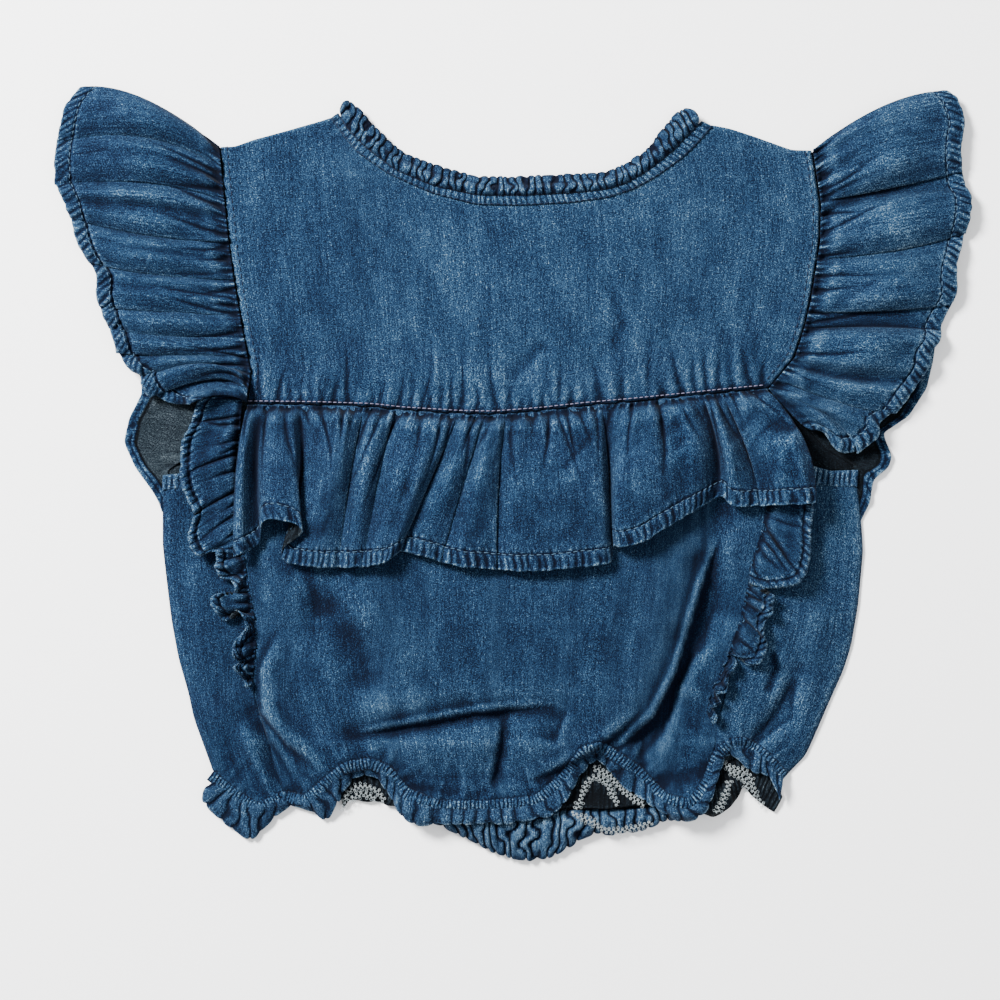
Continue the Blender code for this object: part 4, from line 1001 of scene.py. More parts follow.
def across_plan(rows, v):
    """Plan of a strip: each row curves through its seam, middle and edge places."""
    plan = np.zeros((len(rows), v.shape[1], 2))
    for k in (0, 1):
        plan[..., k] = rows[:, k, None] * (1 - v) * (1 - 2 * v)
        plan[..., k] += rows[:, 2 + k, None] * 4 * v * (1 - v)
        plan[..., k] += rows[:, 4 + k, None] * v * (2 * v - 1)
    return plan


def across_height(rows, v):
    """Height of a strip: each row goes softly through its seam, middle and edge heights."""
    low, middle, high = rows[:, 6], rows[:, 7], rows[:, 8]
    steps = (low, 0.45 * low + 0.55 * middle, middle, 0.3 * middle + 0.7 * high, high)
    height = np.zeros((len(rows), v.shape[1]))
    for k in range(4):
        span = HEIGHT_STEPS[k + 1] - HEIGHT_STEPS[k]
        t = eased(np.clip((v - HEIGHT_STEPS[k]) / span, 0.0, 1.0))
        inside = (v >= HEIGHT_STEPS[k]) & ((v < HEIGHT_STEPS[k + 1]) | (k == 3))
        part = steps[k][:, None] * (1 - t) + steps[k + 1][:, None] * t
        height = np.where(inside, part, height)
    return height


def ruffle(name, folds, count, lines, on, seed, seam=None, billow=0.0, hem=HEM,
           tick=(2.5, 1.1, 4.0), fold=(5.5, 1.6, 12.0), furrow=(6.5, 2.4, 18.0), raised=None,
           pucker=0.6, hem_wear=1.2, shade_tone=0.2, sewn=()):
    """A gathered strip drawn by its folds, laid on the pieces named in `on`.

    `tick` and `fold` are pitch, height and reach of the seam's close and wide gathers,
    `furrow` those of the dark folds between them."""
    rows = even_rows(folds, count)
    if seam is not None:
        rows[:, 0:2] = snapped(seam, rows[:, 0], rows[:, 1])
    width = np.linalg.norm(rows[:, 4:6] - rows[:, 0:2], axis=1)
    v = across_steps(lines, min(0.45, 1.25 * hem / width.mean()))[None, :]
    plan = across_plan(rows, v)
    height = across_height(rows, v)
    rests = np.maximum(BACK_MIDDLE, rest_height(plan[..., 0], plan[..., 1], on) + PILE)
    crest = max(0.5, float(np.percentile(height, 85)))
    # Painted shade in the bottoms of the folds, away from the seam.
    valley_shade = np.clip(1.0 - height / (0.3 * crest), 0.0, 1.0) * np.clip(1.7 * (1.0 - v), 0.2, 1)
    valley_shade = valley_shade * np.clip(12.0 * v - 0.6, 0.0, 1.0)
    height = height + rests + billow * np.sin(np.pi * v)
    if raised is not None:
        short = np.maximum(0.0, raised(rows[:, 0], rows[:, 1])[:, None] - height)
        height = height + short * (1 - v) ** 2
    bare = joined(plan, height)
    step_u = np.linalg.norm(np.diff(bare, axis=0), axis=2)
    along = np.concatenate((np.zeros((1, v.shape[1])), np.cumsum(step_u, axis=0)))
    step_v = np.linalg.norm(np.diff(plan, axis=1), axis=2)
    away = np.concatenate((np.zeros((count, 1)), np.cumsum(step_v, axis=1)), axis=1)
    left = away[:, -1:] - away
    run = along[:, :1] + 0.0 * away
    if sewn:
        seam_z = sewn_to(sewn, rows[:, 0], rows[:, 1])[:, None]
        height += (seam_z - height) * np.exp(-(away / 2.2) ** 2)
    ticks = gathers(run, away, run.max(), tick[0], tick[2], seed)
    height += tick[1] * ticks
    height += fold[1] * gathers(run, away, run.max(), fold[0], fold[2], seed + 1)
    dark = furrows(run, away, run.max(), furrow[0], furrow[2], seed + 7)
    height -= furrow[1] * dark * np.clip(away / 1.5, 0.3, 1.0)
    height = np.maximum(height, rests - 0.4 - (2.5 if sewn else 0.0) * np.exp(-(away / 3.0) ** 2))
    cloth_run = 0.5 * (along + along.mean(axis=1, keepdims=True))
    height += ROUGH * crumple(cloth_run, 0.45 * away, 9.0, seed + 2) * np.minimum(1, away / 6)
    height += 0.4 * ROUGH * crumple(cloth_run, 0.5 * away, 3.2, seed + 3)
    curl = rows[:, 9, None]
    in_hem = np.clip((hem - left) / 0.9, 0.0, 1.0)
    share = np.clip(left / hem, 0.0, 1.0)
    height += 0.25 * in_hem
    height += np.maximum(curl - 0.3, 0.0) * np.sin(np.pi * share ** 0.8) * in_hem
    groove = np.exp(-((left - hem) / 0.55) ** 2)
    height -= (0.3 + 0.5 * curl) * groove
    wander = 1.6 * crumple(cloth_run, 0.0 * away, 7.0, seed + 4)
    ripple = 0.5 * np.sin(2 * np.pi * (cloth_run + wander + 0.5 * left) / 2.9)
    ripple += 0.9 * crumple(cloth_run + 0.6 * left, 0.12 * left, 1.5, seed + 6)
    near_hem = np.clip((hem + 3.0 - left) / 3.0, 0.0, 1.0)
    height += pucker * ripple * near_hem * (0.6 + 0.5 * curl)
    trim = 0.3 * crumple(cloth_run[:, -1], 0.0 * cloth_run[:, -1], 2.4, seed + 5)
    way = unit(plan[:, -1] - plan[:, -4])
    plan[:, -3:] += (trim[:, None] * way)[:, None, :] * np.array((0.3, 0.7, 1.0))[None, :, None]
    # Marks: pale wear on the free edge and along the hem's stitch line, and a painted highlight on
    # the crests of the puckers and of the seam's gathers. Painted shade in the stitch groove, in
    # the troughs of the puckers, between the seam's gathers, in the bottoms of the folds and in
    # the furrows, with an even painted shade over the whole piece.
    wear_and_highlight = hem_wear * np.exp(-(left / 0.75) ** 2) + 0.35 * in_hem * np.clip(ripple, 0, 1)
    wear_and_highlight += 0.35 * hem_wear * np.exp(-((left - hem - 0.9) / 0.5) ** 2)
    close = np.exp(-(away / (1.1 * tick[2])) ** 3)
    wear_and_highlight += 2.2 * close * np.clip(ticks - 0.35, 0.0, 0.7)
    shade_and_dye = 0.45 * groove + 0.55 * in_hem * np.clip(-ripple, 0, 1) * (left > 0.8)
    seam_shade = np.exp(-(away / (0.7 * tick[2])) ** 2)
    shade_and_dye += 1.5 * seam_shade * np.clip(0.4 - ticks, 0.0, 1.0) + VALLEY_SHADE * valley_shade
    shade_and_dye += shade_tone + 0.9 * dark
    return shell(name, joined(plan, height), denim, denim_inside, wear_and_highlight=wear_and_highlight, shade_and_dye=shade_and_dye)


# %% [markdown]
# ## Narrow strips
# The neck frill, the bands, the casings and the hem frills are all made in one way: each is
# a strip between two lines, gathered into close rolls. A roll has a round top and sharp
# sides, and wanders on its way across, which gives the dark lines their S shape.

# %% Gathered strip
def resting(on, least=BACK_MIDDLE, above=PILE):
    """Height over the pieces named in `on`, as a function of the place."""
    def height(x, y):
        return np.maximum(least, rest_height(x, y, on) + above)
    return height


ROLL_WANDER = 0.35      # how uneven the rolls are, as a share of their pitch


def gathered_strip(name, low, high, lines, pitch, rise, bend, seed, finish, base, dark,
                   arch=0.4, pale=0.4, rim=0.3, scallop=0.0, blunt=0.0, shade_tone=0.0, sewn=(),
                   tuck=0.0):
    """A strip from line `low` to line `high` in rolls `pitch` mm apart and `rise` mm high.

    Its seam edge goes down to the pieces named in `sewn`, `tuck` mm below their middle."""
    v = np.linspace(0.0, 1.0, lines)[None, :]
    run = run_of(0.5 * (low + high))[:, None]
    reach = high - low
    span = np.linalg.norm(reach, axis=1)[:, None]
    v = v + 0.0 * run
    if blunt > 0.0:
        near_end = np.clip(np.minimum(run, run[-1] - run) / blunt, 0.0, 1.0)
        v = 0.5 + (v - 0.5) * np.sqrt(np.maximum(0.03, 1.0 - (1.0 - near_end) ** 2))
    away = v * span
    warp = run + ROLL_WANDER * pitch * crumple(run, 0.0 * run, 2.2 * pitch, seed)
    warp = warp + bend * crumple(run, away + 3.0, 0.9 * pitch, seed + 1)
    phase = warp / pitch
    number = np.floor(phase).astype(int)
    gap = np.abs(2.0 * (phase - number) - 1.0)
    strong = np.random.default_rng(seed).uniform(0.5, 1.0, 500)[number % 500]
    roll = strong * (1.0 - gap ** 2.6)
    body = np.sin(np.pi * np.clip(v, 0.0 if sewn else 0.03, 0.97)) ** 0.5
    plan = low[:, None, :] + reach[:, None, :] * v[..., None]
    out = scallop * (roll - 0.5) * np.clip(v, 0.0, 1.0) ** 3
    plan = plan + out[..., None] * (reach / np.maximum(span, 0.1))[:, None, :]
    height = base(plan[..., 0], plan[..., 1])
    if sewn:
        seam = sewn_to(sewn, low[:, 0], low[:, 1])[:, None] - tuck
        height = height + (seam - height) * (1.0 - v) ** 2.5
    height = height + arch * body + rise * roll * body
    # Marks: a painted highlight on the tops of the rolls and pale wear along the free edge;
    # painted shade in the gaps between the rolls and towards the ends, with an even painted shade
    # over the whole strip.
    wear_and_highlight = pale * np.clip(1.0 - gap / 0.5, 0.0, 1.0) * body
    wear_and_highlight += rim * np.exp(-((1.0 - v) * span / 0.5) ** 2)
    shade_and_dye = shade_tone + dark * np.clip((gap - 0.5) / 0.3, 0.0, 1.0) + 0.25 * dark * (1.0 - body)
    return shell(name, joined(plan, height), finish, denim_inside, wear_and_highlight=wear_and_highlight, shade_and_dye=shade_and_dye)


def two_lines(table, count):
    """The seam and the free edge of a strip's table, smoothed."""
    fine = spline(table, np.linspace(0.0, len(table) - 1.0, FINE_POINTS))
    run = run_of(0.5 * (fine[:, 0:2] + fine[:, 2:4]))
    even = read_along(fine, run, np.linspace(0.0, run[-1], count))
    return even[:, 0:2], even[:, 2:4]


# %% [markdown]
# ## Lines of the hem and of the back flounces
# A row of a hem table is one place on the seam and the place on the free edge across from
# it. The hem is drawn up by its elastic, so it runs in arches and not straight.

# %% Hem tables
# seam x, y, edge x, y
HEM_FRILL_FRONT = (
    (-122.8, -126.9, -126.1, -128.9), (-119.1, -129.8, -126.5, -135.1),
    (-115.0, -132.6, -120.7, -141.2), (-110.5, -135.1, -113.4, -147.4),
    (-105.6, -136.3, -107.2, -149.9), (-101.1, -135.9, -100.7, -144.5),
    (-96.1, -134.7, -94.9, -138.4), (-90.4, -133.9, -89.2, -136.7), (-85.5, -133.5, -82.6, -138.8),
    (-81.0, -131.4, -76.1, -142.1), (-76.9, -128.1, -72.4, -136.3), (-72.0, -124.0, -68.7, -128.9),
    (-66.6, -120.7, -64.2, -124.8), (-58.0, -119.9, -57.2, -124.0), (-49.8, -124.4, -49.8, -131.8),
    (-46.1, -129.8, -46.1, -138.8), (-40.4, -134.7, -40.8, -142.9), (-33.0, -137.1, -33.0, -143.3),
    (-24.8, -138.4, -24.8, -143.3), (-16.6, -138.4, -16.6, -142.9), (-8.4, -138.4, -8.4, -142.9),
    (-0.2, -138.0, 0.2, -142.5), (7.2, -137.1, 8.0, -141.2), (13.7, -134.7, 15.4, -140.0),
    (18.7, -130.6, 20.7, -135.5), (23.2, -124.8, 25.2, -128.5), (27.7, -118.3, 29.7, -121.2),
    (32.2, -114.6, 33.0, -117.9), (37.1, -114.6, 37.1, -118.7), (43.3, -118.3, 42.0, -124.8),
    (49.8, -123.2, 48.6, -130.2), (55.6, -128.9, 55.1, -134.3), (61.3, -134.3, 61.3, -138.0),
    (67.0, -137.1, 69.5, -142.1), (72.8, -137.1, 76.9, -139.2), (77.7, -132.6, 81.4, -132.2),
    (81.4, -124.8, 84.7, -123.2), (84.7, -115.8, 87.5, -116.2), (90.4, -112.5, 91.6, -116.2),
    (95.7, -113.0, 96.1, -120.3), (100.7, -115.4, 99.8, -122.4), (104.8, -118.7, 104.3, -123.6),
    (108.0, -122.0, 106.8, -126.9), (110.9, -124.8, 109.7, -133.9),
)
HEM_CASING_BACK = (
    (-71.0, -128.5, -69.5, -137.5), (-67.5, -124.5, -66.0, -134.0), (-60.0, -123.0, -59.5, -135.0),
    (-52.5, -124.5, -54.0, -134.0), (-47.0, -129.0, -50.5, -136.5), (-34.0, -127.0, -34.0, -135.0),
    (-12.0, -127.0, -12.0, -135.5), (12.0, -126.0, 12.0, -135.5), (26.0, -123.0, 24.5, -136.5),
    (33.5, -119.5, 33.0, -137.0), (45.0, -125.0, 42.0, -137.0), (58.0, -128.0, 56.0, -135.5),
    (75.6, -123.6, 75.6, -138.4), (81.8, -120.7, 83.4, -140.4), (88.4, -118.7, 92.0, -133.5),
    (94.9, -117.5, 94.9, -128.9), (101.5, -120.5, 98.2, -132.2), (107.5, -125.5, 103.1, -136.3),
    (111.0, -133.0, 107.6, -139.2),
)
HEM_FRILL_BACK = (
    (-44.0, -138.8, -44.0, -142.0), (-33.0, -140.1, -31.0, -144.0), (-25.0, -140.9, -21.0, -148.5),
    (-16.0, -141.3, -12.5, -153.0), (-7.5, -141.6, -5.5, -156.2), (1.0, -141.6, 1.5, -157.8),
    (9.5, -141.4, 8.5, -158.3), (17.5, -141.2, 15.5, -157.4), (24.0, -141.0, 22.5, -153.5),
    (31.5, -140.9, 31.0, -148.3), (40.5, -140.8, 41.0, -147.8), (49.5, -140.5, 50.5, -147.0),
    (58.0, -139.2, 58.5, -144.0), (70.0, -136.6, 71.0, -139.8), (86.0, -132.6, 87.0, -135.8),
)
BACK_FLOUNCE_LEFT_EDGE = (
    (-176.5, 156.4), (-184.7, 140.4), (-185.5, 128.5), (-182.2, 113.8), (-176.9, 101.1),
    (-173.6, 87.5), (-168.3, 75.2), (-165.8, 60.9), (-158.5, 49.8), (-152.7, 39.6),
    (-152.3, 32.6), (-157.6, 22.8), (-159.7, 12.9), (-155.2, 2.7), (-148.6, -6.4),
    (-145.8, -10.9), (-144.1, -15.8),
)
BACK_FLOUNCE_RIGHT_EDGE = (
    (177.7, 155.6), (181.8, 140.8), (181.0, 128.5), (184.3, 114.6), (181.4, 95.7),
    (178.6, 79.3), (175.3, 63.3), (174.0, 54.7), (172.8, 45.7), (170.4, 35.1),
    (163.0, 23.6), (152.3, 16.6), (156.0, 7.2), (154.8, 2.7), (148.2, -2.7),
    (147.0, -12.1), (143.3, -19.5),
)


# %% [markdown]
# ## Hem of the back
# The front lies on the back's casing and frill, so these two strips are laid before it.
# The frill starts a little inside the casing, which covers its seam.

# %% Casing and frill of the back
UNDER_CASING = 3.0
HEM_CLOTH = ("casing_back", "frill_back", "back")
back_rows = [(sx, sy + UNDER_CASING, ex, ey) for sx, sy, ex, ey in HEM_FRILL_BACK]
low, high = two_lines(back_rows, count=480)
frill_back = gathered_strip("frill_back", low, high, lines=22, pitch=4.6, rise=3.2, bend=2.2,
                            seed=41, finish=denim_worn, base=resting(("back",)), arch=1.6,
                            dark=1.0, pale=0.15, rim=0.6, scallop=1.8, shade_tone=0.15,
                            sewn=("back",), tuck=-0.5)
pieces_done(frill_back, "hem_frill_back")
# The back's casing gets a strong even painted shade.
low, high = two_lines(HEM_CASING_BACK, count=420)
casing_back = gathered_strip("casing_back", low, high, lines=14, pitch=2.2, rise=0.6, bend=0.4,
                             seed=43, finish=denim_inside, dark=0.6, shade_tone=0.75,
                             base=resting(("back", "frill_back"), above=PILE - BACK_MIDDLE))
pieces_done(casing_back, "hem_casing_back")

# %% [markdown]
# ## Side panels and centre
# The two side panels run from the hem up to the underarm, and the centre panel from the hem
# up to the yoke's seam. Gathers run up from the hem, and short ones down from the underarm.

# %% Side panels
SIDE_POINTS = 56
SIDE_LINES = 130


def hem_gathers(plan, line, seed, rise=0.8):
    """Gathers that run up from the hem casing."""
    away, _, run, length = distance_to(line, plan[..., 0], plan[..., 1])
    fine = rise * 0.8 * gathers(run, away, length, 3.4, 4.5, seed)
    return fine + rise * gathers(run, away, length, 8.5, 17.0, seed + 1)


def binding_gathers(plan, line, seed):
    """Short gathers below the underarm binding."""
    away, _, run, length = distance_to(line, plan[..., 0], plan[..., 1])
    return 0.4 * gathers(run, away, length, 3.0, 3.5, seed)


seam_left = PRINCESS_LEFT[:1:-1] + UNDERARM_LEFT[-1:]
seam_right = PRINCESS_RIGHT[:1:-1] + UNDERARM_RIGHT[:1]
# The left panel, which faces the lamp, gets an even painted shade; the right one none.
for side, hem, underarm, outer, ends, seed, shade_and_dye, flat in (
        ("left", SIDE_LEFT_HEM, UNDERARM_LEFT, SIDE_LEFT, (SIDE_LEFT[::-1], seam_left),
         51, 0.3, (0.040, 0.140)),
        ("right", SIDE_RIGHT_HEM, UNDERARM_RIGHT, SIDE_RIGHT, (seam_right, SIDE_RIGHT[::-1]),
         61, 0.0, (0.044, 0.130))):
    plan = patch(resampled(hem, SIDE_POINTS), resampled(underarm, SIDE_POINTS),
                 soft_line(ends[0], SIDE_LINES), soft_line(ends[1], SIDE_LINES))
    height = over_back(plan) + soft_crumple(plan, seed, 0.2)
    height = height + hem_gathers(plan, hem, seed + 2)
    height += binding_gathers(plan, underarm, seed + 4)
    height -= 1.2 * edge_band(plan, outer, 3.0) ** 2
    piece = shell("side_" + side, joined(plan, height), denim, denim_inside, shade_and_dye=shade_and_dye)
    pieces_done(piece, "front_side_" + side)

# %% Centre
CENTER_POINTS = 200
CENTER_LINES = 138
center_plan = patch(resampled(BODY_HEM, CENTER_POINTS), resampled(YOKE_SEAM_LINE, CENTER_POINTS),
                    soft_line(PRINCESS_LEFT[::-1], CENTER_LINES),
                    soft_line(PRINCESS_RIGHT[::-1], CENTER_LINES))
center_height = over_back(center_plan) + soft_crumple(center_plan, 71, 0.2)
center_height += hem_gathers(center_plan, BODY_HEM, 73, 0.9)
center_height -= seam_dip(center_plan, (YOKE_SEAM, BODY_HEM))
# Painted shade: an even share over the panel and more along the hem.
center_painted_shade = 0.2 + 0.7 * edge_band(center_plan, BODY_HEM, 4.0)
center = shell("center", joined(center_plan, center_height), denim, denim_inside,
               shade_and_dye=center_painted_shade)
pieces_done(center, "front_center")

# %% [markdown]
# ## Bindings and neck
# A narrow binding closes each underarm edge. At the neck, a band is sewn on the yoke's edge
# and the neck frill on the band. Both start at the height of the piece they are sewn to.

# %% Bindings and neck
BINDING_POINTS = 90
BINDING_LINES = 12
for side, low, high, seed in (("left", UNDERARM_LEFT, BINDING_LEFT_TOP, 81),
                              ("right", UNDERARM_RIGHT, BINDING_RIGHT_TOP, 82)):
    v = np.linspace(0.0, 1.0, BINDING_LINES)[None, :, None]
    plan = resampled(low, BINDING_POINTS)[:, None, :] * (1 - v)
    plan = plan + resampled(high, BINDING_POINTS)[:, None, :] * v
    run = np.linspace(0.0, line_length(low), BINDING_POINTS)[:, None]
    puckers = 0.3 * np.sin(2 * np.pi * (run + crumple(run, 0 * run, 5.0, seed)) / 2.6)
    height = over_back(plan) + puckers * np.sin(np.pi * v[..., 0]) + 0.3
    rim = np.abs(2 * v[..., 0] - 1) ** 6
    # Pale wear along both edges of the binding, and painted shade in the troughs of its puckers.
    piece = shell("binding_" + side, joined(plan, height - 0.3 * rim), denim_worn,
                  denim_inside, wear_and_highlight=0.7 * rim,
                  shade_and_dye=0.5 * np.clip(-puckers / 0.3, 0, 1))
    pieces_done(piece, "underarm_binding_" + side)

NECK_POINTS = 640
low = soft_line(NECK_BAND_LOW, NECK_POINTS, ease=1.5)
high = soft_line(NECK_BAND_HIGH, NECK_POINTS, ease=1.5)
neck_binding = gathered_strip("neck_band", low, high, lines=12, pitch=2.4, rise=0.45,
                              bend=0.3, seed=84, finish=denim, base=over_front(0.45),
                              dark=0.4, pale=0.5, rim=0.0, sewn=("yoke",), tuck=-0.3)
pieces_done(neck_binding, "neck_binding")
edge = soft_line(NECK_FRILL_EDGE, NECK_POINTS, ease=2.0)
reach = edge - high
neck_frill = gathered_strip("frill_neck", high - 0.03 * reach, edge + 0.06 * reach, lines=20,
                            pitch=3.5, rise=1.9, bend=1.7, seed=86, finish=denim,
                            base=resting(("neck_band",), least=FRONT_LOW, above=0.0),
                            arch=1.3, dark=1.5, pale=0.3, rim=0.2, scallop=0.9, blunt=3.5,
                            shade_tone=0.1, sewn=("neck_band",))
pieces_done(neck_frill, "neck_frill")

# %% [markdown]
# ## Hem of the front
# One casing runs along the lower edges of all three front panels. The frill hangs from it,
# over the back's hem.

# %% Casing and frill of the front
def set_off(line, distance):
    """A polyline moved sideways, to the right of its run for +."""
    line = np.array(line, dtype=float)
    way = unit(np.gradient(line, axis=0))
    return line + distance * np.stack((way[:, 1], -way[:, 0]), axis=1)


HEM_POINTS = 1040
low = soft_line(SIDE_LEFT_HEM[:-1] + BODY_HEM + SIDE_RIGHT_HEM[1:], HEM_POINTS, ease=1.5)
low = set_off(low, -0.6)
casing = gathered_strip("casing", low, set_off(low, 4.8), lines=10, pitch=1.5, rise=0.5,
                        bend=0.25, seed=91, finish=denim, base=over_front(0.1), arch=0.5,
                        dark=0.9, pale=0.5, rim=0.0, shade_tone=0.1, tuck=-0.2,
                        sewn=("side_left", "center", "side_right"))
pieces_done(casing, "hem_casing_front")
low, high = two_lines(HEM_FRILL_FRONT, count=840)
UNDER_HEM = 1.2     # how far the frill reaches in under the casing
low = low - UNDER_HEM * (high - low) / np.linalg.norm(high - low, axis=1, keepdims=True)
frill_front = gathered_strip("frill_front", low, high, lines=18, pitch=6.0, rise=1.3, bend=2.2,
                             seed=93, finish=denim_worn, base=resting(HEM_CLOTH), arch=0.8,
                             dark=0.55, pale=0.1, rim=2.6, scallop=1.4, shade_tone=0.25,
                             sewn=("casing",), tuck=0.5)
pieces_done(frill_front, "hem_frill_front")

# %% [markdown]
# ## Folds of the flounces and of the yoke ruffle
# One row a line across the strip, in the order in which the seam runs.

# %% Fold tables
# seam x, y, middle x, y, edge x, y, height at seam, middle and edge, hem curl
YOKE_FOLDS = (
    (-108.9, 25.6, -112.5, 1.4, -113.4, -34.2, 0.3, 0.8, 0.6, 0.5),
    (-106.8, 25.6, -109.7, 1.4, -109.7, -32.6, 1.0, 4.4, 3.1, 0.6),
    (-103.1, 26.0, -104.8, 3.5, -103.5, -28.5, 0.2, 0.3, 0.8, 0.6),
    (-99.8, 26.4, -101.5, 4.3, -101.5, -20.3, 0.7, 4.8, 6.0, 0.5),
    (-95.3, 26.9, -95.3, 3.5, -94.9, -18.7, 1.4, 7.1, 8.8, 0.5),
    (-90.8, 26.9, -88.4, 3.5, -85.1, -23.2, 1.2, 6.1, 7.1, 0.5),
    (-87.9, 26.9, -86.7, 1.4, -93.7, -31.0, 0.1, 0.2, 2.4, 0.8),
    (-85.9, 26.9, -84.3, -0.6, -92.0, -36.3, 0.8, 1.6, 1.8, 0.6),
    (-78.1, 26.4, -76.5, 1.4, -83.0, -37.9, 1.7, 6.1, 3.4, 0.5),
    (-68.7, 25.6, -70.7, 3.1, -78.1, -38.3, 1.9, 6.8, 3.4, 0.5),
    (-61.0, 25.2, -65.9, 1.0, -71.4, -38.3, 1.0, 2.9, 1.9, 0.4),
    (-61.6, 25.2, -67.3, 1.0, -71.6, -38.3, 0.1, 0.1, 1.4, 0.4),
    (-55.6, 24.8, -60.1, 0.2, -65.8, -38.3, 1.8, 6.8, 4.3, 0.5),
    (-48.4, 24.4, -54.3, 0.6, -60.8, -37.9, 0.9, 2.9, 2.8, 0.4),
    (-48.8, 24.4, -55.1, 0.6, -61.0, -37.9, 0.2, 1.2, 2.6, 0.4),
    (-41.2, 24.0, -47.4, 0.2, -56.4, -37.5, 1.7, 7.3, 5.1, 0.4),
    (-36.3, 24.0, -41.6, -0.2, -52.7, -36.7, 1.1, 7.5, 5.5, 0.4),
    (-31.4, 23.6, -37.1, -0.2, -49.4, -34.6, 1.4, 7.8, 5.7, 0.4),
    (-22.9, 23.6, -32.4, -0.2, -46.1, -31.8, 1.0, 3.4, 3.2, 0.4),
    (-23.5, 23.6, -34.4, -0.2, -48.6, -31.8, 0.1, 0.1, 0.3, 0.4),
    (-19.1, 23.2, -27.3, 0.2, -42.0, -32.2, 1.4, 5.1, 2.3, 0.5),
    (-15.8, 23.2, -23.2, 0.2, -36.3, -33.8, 1.4, 5.4, 2.8, 0.5),
    (-11.5, 23.2, -18.6, 0.6, -29.6, -35.9, 0.9, 2.5, 2.1, 0.4),
    (-11.9, 23.2, -19.6, 0.6, -29.8, -35.9, 0.1, 0.4, 1.4, 0.4),
    (-8.0, 23.2, -13.3, -0.6, -21.5, -37.9, 1.6, 6.8, 4.3, 0.4),
    (-2.8, 23.2, -5.8, -0.6, -7.3, -39.2, 0.9, 3.1, 2.7, 0.4),
    (-3.4, 23.2, -6.9, -0.6, -7.9, -39.2, 0.1, 0.1, 0.8, 0.4),
    (0.6, 23.2, -0.2, -1.8, -0.2, -39.6, 1.6, 6.1, 3.7, 0.4),
    (5.9, 23.6, 8.0, -1.8, 8.0, -39.6, 0.8, 6.5, 4.0, 0.4),
    (13.3, 24.0, 17.0, -1.8, 16.2, -39.2, 1.7, 6.8, 4.3, 0.4),
    (21.9, 24.8, 26.4, -2.3, 26.0, -38.3, 1.1, 7.0, 4.5, 0.4),
    (31.8, 25.6, 35.5, -2.7, 35.9, -37.1, 1.3, 6.5, 4.3, 0.4),
    (35.9, 25.6, 38.7, -2.7, 39.6, -36.3, 0.8, 2.3, 2.3, 0.4),
    (37.5, 25.6, 39.6, -2.7, 40.8, -32.2, 0.0, 0.0, 0.0, 0.1),
    (43.3, 25.6, 40.4, -1.8, 41.6, -29.3, 0.4, 2.2, 2.5, 0.4),
    (49.0, 26.4, 42.8, -1.0, 44.1, -30.1, 0.4, 7.1, 5.4, 0.5),
    (53.9, 27.3, 49.0, 0.2, 52.3, -28.1, 1.9, 8.2, 6.0, 0.6),
    (58.8, 28.1, 58.4, 3.1, 62.1, -22.3, 2.0, 8.2, 5.4, 0.7),
    (63.3, 28.9, 67.0, 6.4, 70.3, -17.4, 0.2, 6.1, 4.5, 0.7),
    (69.5, 29.7, 75.6, 8.8, 76.9, -13.7, 1.8, 6.5, 3.4, 0.6),
    (77.4, 30.5, 83.0, 10.0, 83.0, -10.0, 0.1, 0.1, 0.2, 0.4),
    (78.0, 30.5, 84.7, 10.0, 86.3, -10.0, 0.9, 3.1, 2.7, 0.5),
    (81.0, 31.4, 87.9, 9.6, 90.4, -13.3, 1.7, 6.5, 4.5, 0.5),
    (85.7, 31.8, 96.1, 8.0, 101.4, -13.3, 0.2, 0.8, 2.4, 0.5),
    (86.1, 31.8, 97.0, 8.0, 101.5, -13.3, 1.0, 2.2, 2.7, 0.5),
    (92.0, 33.0, 103.9, 9.6, 110.5, -12.9, 1.8, 6.8, 4.5, 0.5),
    (98.2, 34.2, 113.0, 10.9, 118.3, -12.5, 1.6, 5.4, 3.7, 0.5),
    (103.9, 35.5, 119.1, 12.1, 122.8, -12.1, 0.5, 1.2, 1.2, 0.4),
)
